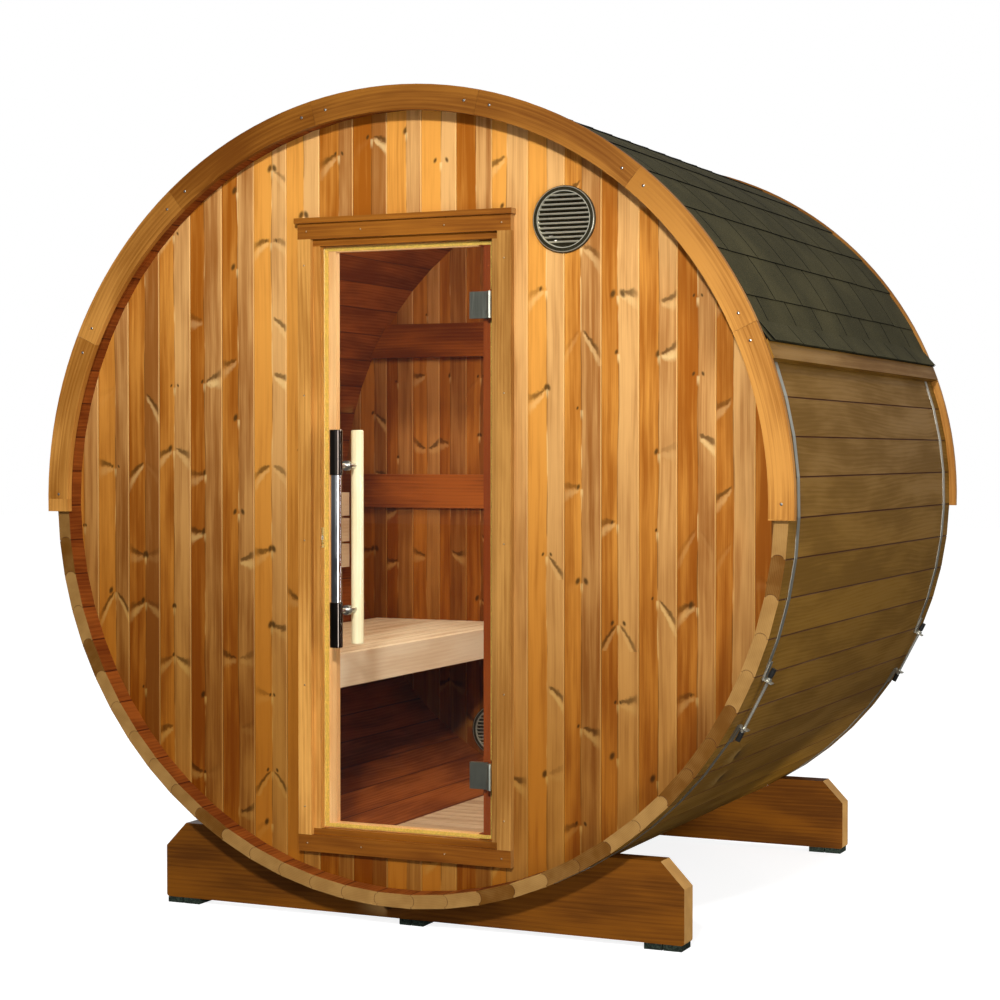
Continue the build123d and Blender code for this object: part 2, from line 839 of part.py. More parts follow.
def rib_face():
    """The packing between a backrest slat and the curved wall, as an (x, z) face."""
    low = backrest_bottom
    high = low + backrest_count * backrest_slat_width + (backrest_count - 1) * backrest_slat_gap
    return disc_strip(lining_radius, -lining_radius, backrest_back, low, high)


def bench_frame():
    """Cross bearers under the slats and ribs behind the backrest."""
    top = bench_top - bench_slat_thickness
    low = top - bearer_height
    reach = sqrt(lining_radius ** 2 - (axis_height - low) ** 2) - bearer_wall_gap
    pieces = []
    for y0 in (wall_back, -bearer_width / 2, -wall_back - bearer_width):
        pieces.append(slab(-reach, bench_front - fascia_thickness, y0, y0 + bearer_width,
                           low, top))
    rib = rib_face()
    ends = -wall_back - backrest_end_gap - backrest_rib_width
    for index in range(backrest_rib_count):
        y0 = -ends - backrest_rib_width + index * 2 * (ends + backrest_rib_width / 2) / (
            backrest_rib_count - 1)
        pieces.append(along_y(rib, y0, y0 + backrest_rib_width))
    return pieces


def backrest_slats():
    y1 = -wall_back - backrest_end_gap
    slats = []
    for index in range(backrest_count):
        z0 = backrest_bottom + index * (backrest_slat_width + backrest_slat_gap)
        slats.append(slab(backrest_back, backrest_back + backrest_slat_thickness, -y1, y1,
                          z0, z0 + backrest_slat_width))
    return slats


def duckboard():
    """Cross slats nailed to two runners that stand on the lowest staves."""
    y0 = frame_back + duckboard_end_gap
    y1 = -wall_back - duckboard_end_gap
    step = duckboard_slat_width + duckboard_slat_gap
    count = int((y1 - y0 + duckboard_slat_gap) // step)
    first = (y0 + y1 - count * step + duckboard_slat_gap) / 2
    outer = duckboard_runner_x + duckboard_runner_width / 2
    runner_bottom = axis_height - sqrt(lining_radius ** 2 - outer ** 2)
    runner = slab(outer - duckboard_runner_width, outer, y0, y1, runner_bottom, duckboard_bottom)
    board = runner + mirror(runner, about=Plane.YZ)
    for index in range(count):
        start = first + index * step
        board = board + slab(-duckboard_half_width, duckboard_half_width, start,
                             start + duckboard_slat_width, duckboard_bottom, duckboard_top)
    return board


def model():
    """Every node by name."""
    nodes = {}
    nodes.update(stave_nodes())
    nodes.update(front_wall())
    nodes["rear_wall"] = rear_wall()
    nodes["rear_ledgers"] = rear_ledgers()
    nodes.update(door_frame())
    nodes.update(door_stops())
    nodes["door_gasket"] = door_gasket()
    nodes.update(face_boards())
    nodes["roller_catch"] = roller_catch()
    nodes["hinge_leaves"] = [hinge_leaf(middle) for middle in hinge_middles]
    nodes["vents"] = vents()
    boards = barge_boards()
    nodes["front_barge_boards"] = boards
    nodes["rear_barge_boards"] = [to_rear(board) for board in boards]
    nodes["bands"] = both_ends(band())
    nodes["tensioners"] = both_ends(tensioner())
    nodes["tensioner_caps"] = [cap for near in tensioner_caps() for cap in both_ends(near)]
    nodes["roof_shingles"] = roof_shingles()
    nodes["eave_battens"] = eave_battens()
    nodes["cradles"] = both_ends(cradle())
    nodes["rubber_feet"] = [pad for near in feet() for pad in both_ends(near)]
    nodes["bench_slats"] = bench_slats()
    nodes["bench_fascia"] = bench_fascia()
    nodes["bench_frame"] = bench_frame()
    nodes["backrest_slats"] = backrest_slats()
    nodes["duckboard"] = duckboard()
    nodes["door_glass"] = door_glass()
    nodes["door_pull"] = door_pull()
    nodes["door_grip"] = door_grip()
    nodes["pull_standoffs"] = pull_standoffs()
    nodes["hinge_clamps"] = [plate for middle in hinge_middles for plate in hinge_clamp(middle)]
    return nodes


os.makedirs("parts", exist_ok=True)
for name, shape in model().items():
    if isinstance(shape, list):
        shape = Compound(children=shape)
    export_step(shape, f"parts/{name}.step")
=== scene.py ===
import math
import random
import bpy
from mathutils import Matrix, Vector


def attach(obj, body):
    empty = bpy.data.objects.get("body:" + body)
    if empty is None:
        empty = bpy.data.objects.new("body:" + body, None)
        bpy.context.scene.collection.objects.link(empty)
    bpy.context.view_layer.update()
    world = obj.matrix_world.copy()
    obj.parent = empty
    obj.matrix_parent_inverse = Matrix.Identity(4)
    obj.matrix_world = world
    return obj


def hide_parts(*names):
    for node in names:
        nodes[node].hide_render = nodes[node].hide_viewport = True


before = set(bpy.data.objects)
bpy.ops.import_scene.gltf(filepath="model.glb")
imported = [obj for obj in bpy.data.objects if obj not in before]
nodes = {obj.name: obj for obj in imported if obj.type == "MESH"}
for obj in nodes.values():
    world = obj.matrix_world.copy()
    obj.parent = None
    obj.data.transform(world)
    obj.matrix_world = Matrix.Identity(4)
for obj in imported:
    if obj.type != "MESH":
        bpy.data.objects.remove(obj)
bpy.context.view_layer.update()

# Sizes are in metres and angles in degrees

# Barrel
AXIS_HEIGHT = 1.104
BARREL_RADIUS = 1.0433
BARREL_END = 0.848
STAVE_COUNT = 67
STAVE_PITCH = 360 / STAVE_COUNT
STAVE_PHASE = -90.3 - STAVE_PITCH / 2
STAVE_INNER_FACE = 1.004
BEAD_MIDDLE = 1.022
BEAD_HALF_WIDTH = 0.014
BEAD_HEIGHT = 0.009

# End walls
WALL_FACES = (0.790, 0.752)
WALL_HALF_WIDTH = 1.02
WALL_INDOORS = (0.775, 0.770)
BOARD_PITCH = 0.0993
BOARD_PHASE = -0.0545
REAR_BOARD_SHIFT = 40.0
GROOVE_DEPTH = 0.0026
GROOVE_LENGTH = 2.3

# Roof
SHINGLE_STEP = 7.3
SHINGLE_FIRST = 28.9
SHINGLE_COURSES = 8
SHINGLE_LIFT = 0.0073
TAB_LENGTH = 0.238
TAB_SLOT = 0.006
TAB_THICKNESS = 0.0024
TAB_LAP = 0.3
TAB_LEAN = 1.2
TAB_JITTER = 0.05
TAB_LEAST = 0.02
TAB_BONDS = (0.105, 0.020)
ROOF_END_GAP = 0.004
EAVE_EDGE = (1.0728, 21.6)
EAVE_BEND = (1.0468, 25.9)
EAVE_TOP = (BARREL_RADIUS + 0.0034, SHINGLE_FIRST + 0.6)
RIDGE_EXPOSURE = 0.140
RIDGE_LAP = 1.15
RIDGE_HALF_ANGLE = 6.8
RIDGE_TILT = 0.9

# Barge boards and screws
BARGE_FACE = 0.8655
BARGE_FIRST_JOINT = 24.4
BARGE_JOINT_STEP = 26.15
BARGE_SCREW_RING = 1.027
BARGE_SCREW_OFFSETS = (-2.0, 2.0)
SCREW_RADIUS = 0.0036
SCREW_DOME = 0.35
PIT_RADIUS = 0.0044
PIT_DEPTH = 0.0014
NAIL_RADIUS = 0.0022
CASING_FACE = -0.810
CASING_NAIL_X = 0.287
CASING_NAIL_HEIGHTS = (0.30, 0.62, 1.00, 1.38, 1.72)
CROSS_NAIL_PLACES = (-0.28, -0.12, 0.12, 0.28)
CROSS_NAIL_HEIGHTS = (0.204, 1.809)

# Bands' tensioners
BAND_PLACE = 0.769
TENSIONER_ANGLE = -27.3
ROD_RING = 1.0418 + 0.0115
ROD_RADIUS = 0.0040
THREAD_RADIUS = 0.0004
THREAD_PITCH = 0.0016
THREADS_EACH_WAY = 38

# Door pull and vents
PULL_MIDDLE = 1.0075
PULL_SLEEVE_START = 0.1645
FRONT_VENT = (0.444, 1.811)
REAR_VENT = (-0.440, 0.313)
VENT_OPENING = 0.0695
VENT_INNER_RIM = 0.0706
VENT_OUTER_RIM = 0.0812
LOUVRE_EDGES = (0.0248, 0.0262)

# Knots: cells per metre across and along, sizes, and the spacing of a wall board's whorls
KNOT_CELLS = (8.5, 2.1)
KNOT_SIZES = (0.006, 0.015)
KNOT_SPACING = 0.20

# Tints: what lies right of HINGE_SIDE is the hinge side of the doorway
HINGE_SIDE = 0.20
WOOD_SHINE = 0.12
# A darker multiply tint: painted shade on the wall boards towards the floor and the left, the cross
# boards darker towards the floor, and the top barge boards' darker tone
DARK_TONE_AND_SHADE = (0.46, 0.36, 0.18, 1.0)

# Stage: the floor's greys and glow, and the light from around with a darker side
FLOOR_GREY = (0.38, 0.38, 0.38, 1.0)
FLOOR_IN_MIRRORS = (0.05, 0.05, 0.05, 1.0)
FLOOR_GLOW = 0.86
WORLD_LIGHT = 0.50
WORLD_DARK_SIDE = 0.10
DARK_SIDE = (-0.62, -0.78, 0.0)
WHITE = (1.0, 1.0, 1.0, 1.0)

# Camera
CAMERA_PLACE = (2.5314, -5.8067, 1.2265)
CAMERA_DIP = 1.2053
CAMERA_HEADING = 24.2895
CAMERA_LENS = 78.389
CAMERA_SENSOR = 36.0


def srgb(red, green, blue):
    """A colour given as 0 to 255 on screen."""
    parts = [value / 255 for value in (red, green, blue)]
    return tuple(v / 12.92 if v < 0.04045 else ((v + 0.055) / 1.055) ** 2.4
                 for v in parts) + (1.0,)


def darker(color, share):
    return tuple(v * share for v in color[:3]) + (1.0,)


# Mesh making

def deselect():
    bpy.ops.object.select_all(action="DESELECT")


def choose(piece):
    """Make one piece the only selected one."""
    deselect()
    piece.select_set(True)
    bpy.context.view_layer.objects.active = piece
    return piece


def settle(piece):
    """Put a piece's place into its mesh."""
    choose(piece)
    bpy.ops.object.transform_apply(location=True, rotation=True, scale=True)
    return piece


def modify(piece, kind, **settings):
    """Add a modifier and apply it."""
    choose(piece)
    modifier = piece.modifiers.new(kind.lower(), kind)
    for key, value in settings.items():
        setattr(modifier, key, value)
    bpy.ops.object.modifier_apply(modifier=modifier.name)
    return piece


def clean(piece, flat=True):
    """Merge doubles, point the faces outwards and drop edges that lie in a flat face."""
    choose(piece)
    bpy.ops.object.mode_set(mode="EDIT")
    bpy.ops.mesh.select_all(action="SELECT")
    bpy.ops.mesh.remove_doubles(threshold=0.00001)
    bpy.ops.mesh.normals_make_consistent(inside=False)
    if flat:
        bpy.ops.mesh.dissolve_limited(angle_limit=math.radians(0.5))
    bpy.ops.object.mode_set(mode="OBJECT")
    return piece


def copy_of(piece, matrix=None):
    """A copy with its own mesh, moved by a matrix."""
    twin = piece.copy()
    twin.data = piece.data.copy()
    bpy.context.collection.objects.link(twin)
    if matrix is not None:
        twin.data.transform(matrix)
    return twin


def loose_copy(node, ending):
    """A clean copy of a CAD node, named after it."""
    piece = copy_of(nodes[node])
    piece.parent = None
    piece.name = node + ending
    return clean(piece)


def joined(pieces, name):
    """Several pieces as one."""
    deselect()
    for piece in pieces:
        piece.select_set(True)
    bpy.context.view_layer.objects.active = pieces[0]
    bpy.ops.object.join()
    pieces[0].name = name
    pieces[0].data.name = name
    return pieces[0]


def cut(piece, cutter):
    return modify(piece, "BOOLEAN", operation="DIFFERENCE", solver="EXACT", object=cutter)


def remove(piece):
    bpy.data.objects.remove(piece, do_unlink=True)


def turn_about(spot, angle, axis):
    """A turn by an angle about an axis through a spot."""
    turn = Matrix.Rotation(math.radians(angle), 4, axis)
    return Matrix.Translation(spot) @ turn @ Matrix.Translation(-spot)


def about_axis(angle):
    """A turn about the barrel's axis, from +X towards +Z."""
    return turn_about(Vector((0, 0, AXIS_HEIGHT)), -angle, "Y")


def round_spot(radius, angle, y):
    """The spot at a radius and an angle about the barrel's axis."""
    turn = math.radians(angle)
    return Vector((radius * math.cos(turn), y, AXIS_HEIGHT + radius * math.sin(turn)))


def mirrored(axis):
    return Matrix.Scale(-1, 4, Vector(axis))


def dress(piece, material, body="cabin"):
    """Give a finished piece its material and the body that it moves with."""
    piece.data.materials.clear()
    piece.data.materials.append(material)
    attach(piece, body)
    return piece


# Shader making

class Graph:
    """Short ways to add and link the nodes of one tree."""

    def __init__(self, tree):
        self.tree = tree

    def add(self, kind, **settings):
        made = self.tree.nodes.new("ShaderNode" + kind)
        for key, value in settings.items():
            setattr(made, key, value)
        return made

    def put(self, socket, value):
        if isinstance(value, bpy.types.NodeSocket):
            self.tree.links.new(value, socket)
        elif value is not None:
            socket.default_value = value

    def math(self, operation, *values):
        made = self.add("Math", operation=operation)
        for socket, value in zip(made.inputs, values):
            self.put(socket, value)
        return made.outputs[0]

    def chain(self, operation, values):
        """One value after another taken into the result so far."""
        result = values[0]
        for value in values[1:]:
            result = self.math(operation, result, value)
        return result

    def plus(self, *values):
        return self.chain("ADD", values)

    def minus(self, first, second):
        return self.math("SUBTRACT", first, second)

    def times(self, *values):
        return self.chain("MULTIPLY", values)

    def over(self, first, second):
        return self.math("DIVIDE", first, second)

    def largest(self, *values):
        return self.chain("MAXIMUM", values)

    def unsigned(self, value):
        """A value without its sign."""
        return self.math("ABSOLUTE", value)

    def hypotenuse(self, side, rise):
        """The distance that two square offsets make."""
        return self.math("SQRT", self.plus(self.times(side, side), self.times(rise, rise)))

    def vector(self, x, y, z):
        made = self.add("CombineXYZ")
        for socket, value in zip(made.inputs, (x, y, z)):
            self.put(socket, value)
        return made.outputs[0]

    def split(self, vector):
        made = self.add("SeparateXYZ")
        self.put(made.inputs[0], vector)
        return made.outputs[0], made.outputs[1], made.outputs[2]

    def dot(self, first, second):
        made = self.add("VectorMath", operation="DOT_PRODUCT")
        self.put(made.inputs[0], first)
        self.put(made.inputs[1], second)
        return made.outputs["Value"]

    def noise(self, vector, scale, detail=2.0, roughness=0.5):
        made = self.add("TexNoise")
        self.put(made.inputs["Vector"], vector)
        self.put(made.inputs["Scale"], scale)
        self.put(made.inputs["Detail"], detail)
        self.put(made.inputs["Roughness"], roughness)
        return made.outputs[0]

    def random(self, value):
        made = self.add("TexWhiteNoise", noise_dimensions="1D")
        self.put(made.inputs["W"], value)
        return made.outputs["Value"]

    def spread(self, value, low, high, start=0.0, stop=1.0):
        """Take low..high smoothly to start..stop."""
        made = self.add("MapRange", interpolation_type="SMOOTHSTEP")
        for socket, part in zip(made.inputs, (value, low, high, start, stop)):
            self.put(socket, part)
        return made.outputs[0]

    def mix(self, factor, first, second, blend="MIX"):
        made = self.add("Mix", data_type="RGBA", blend_type=blend)
        self.put(made.inputs[0], factor)
        self.put(made.inputs[6], first)
        self.put(made.inputs[7], second)
        return made.outputs[2]

    def tint(self, factor, color, tone):
        return self.mix(factor, color, tone, blend="MULTIPLY")

    def place(self):
        return self.add("TexCoord").outputs["Object"]

    def normal(self):
        return self.add("TexCoord").outputs["Normal"]

    def bump(self, height, strength, distance):
        made = self.add("Bump")
        self.put(made.inputs["Strength"], strength)
        self.put(made.inputs["Distance"], distance)
        self.put(made.inputs["Height"], height)
        return made.outputs["Normal"]


def new_group(name, inputs, outputs):
    """An empty node group with named sockets."""
    tree = bpy.data.node_groups.new(name, "ShaderNodeTree")
    for label, kind in inputs:
        tree.interface.new_socket(name=label, in_out="INPUT", socket_type="NodeSocket" + kind)
    for label, kind in outputs:
        tree.interface.new_socket(name=label, in_out="OUTPUT", socket_type="NodeSocket" + kind)
    graph = Graph(tree)
    source = tree.nodes.new("NodeGroupInput")
    sink = tree.nodes.new("NodeGroupOutput")
    return graph, source.outputs, sink.inputs


def new_material(name):
    """A material with only its output and a Principled shader."""
    material = bpy.data.materials.new(name)
    material.use_nodes = True
    graph = Graph(material.node_tree)
    return material, graph, material.node_tree.nodes["Principled BSDF"]


# Sawn pine

def scattered_knots(graph, x, z, far, share):
    """One knot in some of the cells of a grid: the offsets from it, 1 where the cell has one,
    and the distance from it in knot sizes."""
    across = graph.plus(graph.times(x, KNOT_CELLS[0]), far)
    along = graph.plus(graph.times(z, KNOT_CELLS[1]), far)
    cells = graph.add("TexVoronoi", voronoi_dimensions="2D")
    graph.put(cells.inputs["Vector"], graph.vector(across, along, 0.0))
    graph.put(cells.inputs["Scale"], 1.0)
    knot_x, knot_z, unused = graph.split(cells.outputs["Position"])
    side = graph.over(graph.minus(across, knot_x), KNOT_CELLS[0])
    rise = graph.over(graph.minus(along, knot_z), KNOT_CELLS[1])
    chance, second, unused = graph.split(cells.outputs["Color"])
    present = graph.math("LESS_THAN", chance, share)
    size = graph.spread(second, 0.0, 1.0, *KNOT_SIZES)
    near = graph.hypotenuse(graph.over(side, size), graph.over(rise, size))
    return side, rise, present, near


def wood_grain_group():
    """Sawn pine: growth bands, fibres, cloudy tone and knots. X is across and Z along the grain."""
    graph, given, wanted = new_group(
        "wood grain",
        [("Along", "Vector"), ("Seed", "Float"), ("Figure", "Float"), ("Knots", "Float")],
        [("Tone", "Float"), ("Knot", "Float"), ("Flame", "Float"), ("Height", "Float")])
    x, y, z = graph.split(given["Along"])
    far = graph.times(given["Seed"], 37.0)
    side, rise, present, near = scattered_knots(graph, x, z, far, given["Knots"])
    core = graph.times(present, graph.spread(near, 1.15, 0.75))
    swirl = graph.times(present, graph.spread(near, 6.0, 0.5, 0.0, 0.022))
    bend = graph.noise(graph.vector(graph.plus(x, far), y, graph.times(z, 0.3)), 3.0)
    bend = graph.times(graph.minus(bend, 0.5), graph.times(given["Figure"], 0.09))
    moved = graph.plus(graph.plus(x, bend), graph.plus(swirl, far))
    wave = graph.add("TexWave", wave_type="BANDS", bands_direction="X")
    graph.put(wave.inputs["Vector"], graph.vector(moved, y, graph.times(z, 0.06)))
    graph.put(wave.inputs["Scale"], 26.0)
    graph.put(wave.inputs["Distortion"], 5.0)
    graph.put(wave.inputs["Detail"], 2.0)
    graph.put(wave.inputs["Detail Scale"], 0.6)
    bands = wave.outputs[1]
    fibres = graph.noise(graph.vector(graph.plus(moved, y), y, graph.times(z, 0.012)),
                         420.0, 2.0, 0.6)
    cloud = graph.noise(graph.vector(graph.times(moved, 1.6), y, graph.times(z, 0.35)), 7.0, 3.0)
    tone = graph.plus(graph.times(graph.spread(cloud, 0.3, 0.72), 0.58),
                      graph.times(bands, 0.16),
                      graph.times(graph.spread(fibres, 0.3, 0.7), 0.24))
    wing = graph.times(graph.spread(graph.unsigned(side), 0.045, 0.004),
                       graph.spread(graph.unsigned(rise), 0.11, 0.0), present)
    below = graph.times(wing, graph.spread(rise, 0.004, -0.012))
    above = graph.times(wing, graph.spread(rise, -0.004, 0.012))
    graph.put(wanted["Tone"], tone)
    graph.put(wanted["Knot"], core)
    graph.put(wanted["Flame"], graph.minus(below, graph.times(above, 0.9)))
    graph.put(wanted["Height"], graph.plus(graph.times(fibres, 0.6), graph.times(bands, 0.4)))
    return graph.tree


# Flat-sawn wall boards

def whorl_dice(graph, board, whorl):
    """Six random numbers for each whorl of knots of each board."""
    chance = []
    for shift in (0.21, 5.83):
        dice = graph.add("TexWhiteNoise", noise_dimensions="2D")
        graph.put(dice.inputs["Vector"], graph.vector(graph.plus(board, shift), whorl, 0.0))
        chance += graph.split(dice.outputs["Color"])
    return chance


def round_knots(graph, apart, rise, side, chance):
    """Small knots in pairs beside the pith, or alone, and 1 where the whorl has them."""
    aside = graph.minus(apart, graph.times(chance[1], 0.017))
    size = graph.spread(chance[5], 0.0, 0.62, 0.0072, 0.0030)
    tall = graph.plus(rise, graph.times(aside, 0.5))
    near = graph.hypotenuse(graph.over(aside, size), graph.over(tall, graph.times(size, 1.3)))
    present = graph.math("LESS_THAN", chance[5], 0.60)
    paired = graph.math("LESS_THAN", graph.times(side, chance[0]), 0.42)
    return graph.times(graph.spread(near, 1.5, 0.4), graph.times(present, paired)), present


def side_knots(graph, apart, rise, up, side, own, chance):
    """Slanting dark knots cut along their length, and the pale flare below each."""
    left = graph.times(graph.spread(chance[2], 0.36, 0.18), 0.95)
    right = graph.times(graph.spread(chance[3], 0.36, 0.18), 0.95)
    winged = graph.plus(graph.times(side, right), graph.times(graph.minus(1.0, side), left))
    ragged = graph.noise(graph.vector(graph.plus(own, apart), 0.0, up), 85.0, 2.0)
    slope = graph.minus(graph.times(chance[4], 1.5), 0.45)
    curl = graph.times(graph.minus(chance[1], 0.5), 22.0)
    above = graph.plus(rise, graph.times(slope, apart),
                       graph.times(curl, graph.times(apart, apart)),
                       graph.times(graph.minus(ragged, 0.5), 0.016))
    thick = graph.plus(graph.times(apart, 0.16), 0.0026)
    reach = graph.times(graph.spread(apart, 0.002, 0.011),
                        graph.spread(apart, 0.058, 0.034, 0.25, 1.0), winged)
    level = graph.over(above, thick)
    streak = graph.times(reach, graph.spread(graph.unsigned(level), 1.5, 0.3))
    under = graph.unsigned(graph.plus(level, 2.4))
    flare = graph.times(reach, graph.spread(under, 2.3, 0.2),
                        graph.spread(chance[0], 0.0, 1.0, 0.35, 1.0))
    return streak, flare


def board_grain_group():
    """A flat-sawn board split by its pith: a half of its own tone on each side, small knots in
    pairs beside the pith and slanting side knots with a pale flare below."""
    graph, given, wanted = new_group(
        "board grain",
        [("Across", "Float"), ("Up", "Float"), ("Board", "Float")],
        [("Tone", "Float"), ("Side", "Float"), ("Knot", "Float"), ("Flare", "Float"),
         ("Height", "Float")])
    up = given["Up"]
    board = given["Board"]
    own = graph.times(board, 7.3)

    place = graph.random(graph.plus(board, 0.37))
    wander = graph.noise(graph.vector(own, 0.0, up), 3.2)
    pith = graph.plus(graph.times(graph.minus(place, 0.5), 0.018),
                      graph.times(graph.minus(wander, 0.5), 0.014))
    offset = graph.minus(given["Across"], pith)
    side = graph.math("GREATER_THAN", offset, 0.0)
    apart = graph.unsigned(offset)

    start = graph.random(graph.plus(board, 11.7))
    counted = graph.plus(graph.over(up, KNOT_SPACING), graph.times(start, 9.0))
    whorl = graph.math("FLOOR", counted)
    chance = whorl_dice(graph, board, whorl)
    rise = graph.minus(graph.minus(counted, whorl), graph.spread(chance[0], 0.0, 1.0, 0.3, 0.7))
    rise = graph.times(rise, KNOT_SPACING)
    eyes, present = round_knots(graph, apart, rise, side, chance)
    streak, flare = side_knots(graph, apart, rise, up, side, own, chance)

    drip = graph.times(graph.spread(apart, 0.0055, 0.0012),
                       graph.times(graph.spread(rise, -0.003, -0.008),
                                   graph.spread(rise, -0.034, -0.012)), present)
    line = graph.spread(apart, 0.0021, 0.0006)
    broken = graph.noise(graph.vector(own, 3.0, up), 7.0, 2.0)
    dark_line = graph.times(line, graph.spread(broken, 0.44, 0.56))
    pale_line = graph.times(line, graph.spread(broken, 0.44, 0.36))

    half = graph.plus(own, graph.times(side, 3.1))
    fibres = graph.noise(graph.vector(graph.plus(offset, half), 0.0, graph.times(up, 0.010)),
                         480.0, 2.0, 0.6)
    streaks = graph.noise(graph.vector(graph.plus(apart, half), 0.0, graph.times(up, 0.035)),
                          70.0, 2.0)
    cloud = graph.noise(graph.vector(graph.plus(half, graph.times(apart, 3.0)), 0.0,
                                     graph.times(up, 0.7)), 5.0, 3.0)
    half_tone = graph.random(graph.plus(graph.times(board, 2.0), side))
    tone = graph.plus(graph.times(graph.spread(fibres, 0.3, 0.7), 0.16),
                      graph.times(graph.spread(streaks, 0.3, 0.7), 0.30),
                      graph.times(graph.spread(cloud, 0.3, 0.7), 0.26),
                      graph.times(half_tone, 0.36))
    graph.put(wanted["Tone"], tone)
    graph.put(wanted["Side"], graph.spread(offset, -0.002, 0.002))
    graph.put(wanted["Knot"], graph.largest(eyes, graph.times(streak, 0.85),
                                            graph.times(dark_line, 0.55)))
    graph.put(wanted["Flare"], graph.largest(flare, drip, graph.times(pale_line, 0.8)))
    graph.put(wanted["Height"], fibres)
    return graph.tree


WOOD_GRAIN = wood_grain_group()
BOARD_GRAIN = board_grain_group()


# Where a point lies in its strip of wood

def strip_of(graph, counted, width, start):
    """The strip's number and the place across it, from -0.5 to 0.5."""
    steps = graph.over(graph.minus(counted, start), width)
    index = graph.math("FLOOR", steps)
    return index, graph.minus(graph.minus(steps, index), 0.5)


def bead_bow(graph, radius):
    """How many degrees the rounded edge of a stave stands past its straight joint."""
    off = graph.over(graph.minus(radius, BEAD_MIDDLE), BEAD_HALF_WIDTH)
    bow = graph.math("SQRT", graph.largest(graph.minus(1.0, graph.times(off, off)), 0.0))
    return graph.times(bow, math.degrees(BEAD_HEIGHT / BEAD_MIDDLE))


def grain_space(graph, grain, strips):
    """Grain-aligned coordinates, the strip's number, the place across it and a depth.

    grain is stave, ring, or the axis that the grain follows. strips is (axis, width, start): the
    strips' width along an axis, or in degrees about the barrel's axis, called A. The depth is
    the distance from the barrel's axis, or y on straight wood."""
    x, y, z = graph.split(graph.place())
    axis, width, start = strips
    if axis != "A":
        index, share = strip_of(graph, {"X": x, "Y": y, "Z": z}[axis], width, start)
        along = {"X": (z, y, y, x), "Y": (x, z, z, y), "Z": (x, y, y, z)}[grain]
        return graph.vector(graph.plus(along[0], along[1]), along[2], along[3]), index, share, y
    high = graph.minus(z, AXIS_HEIGHT)
    radius = graph.hypotenuse(x, high)
    angle = graph.math("DEGREES", graph.math("ARCTAN2", high, x))
    if grain == "ring":
        index, share = strip_of(graph, angle, width, start)
        arc = graph.times(graph.math("RADIANS", angle), BARREL_RADIUS)
        return graph.vector(radius, y, arc), index, share, radius
    bow = graph.times(bead_bow(graph, radius), graph.math("SIGN", x))
    index, share = strip_of(graph, graph.minus(angle, bow), width, start)
    arc = graph.times(share, math.radians(width) * BARREL_RADIUS)
    return graph.vector(arc, radius, y), index, share, radius


# Wood

def end_grain(graph, depth, share, seed, dark, light):
    """Growth rings and blotches of a sawn end."""
    middle = graph.times(seed, 0.07)
    rings = graph.hypotenuse(graph.plus(depth, middle), graph.plus(graph.times(share, 0.10), middle))
    ragged = graph.noise(graph.place(), 90.0)
    rings = graph.plus(graph.times(rings, 1500.0), graph.times(ragged, 3.0))
    rings = graph.spread(graph.math("SINE", rings), -1.0, 1.0, 0.0, 0.45)
    blotch = graph.noise(graph.place(), 22.0)
    tone = graph.plus(graph.times(rings, 0.32), graph.spread(blotch, 0.3, 0.7, 0.0, 0.25),
                      graph.spread(seed, 0.30, 0.50, -0.15, 0.55))
    return graph.mix(tone, dark, light)


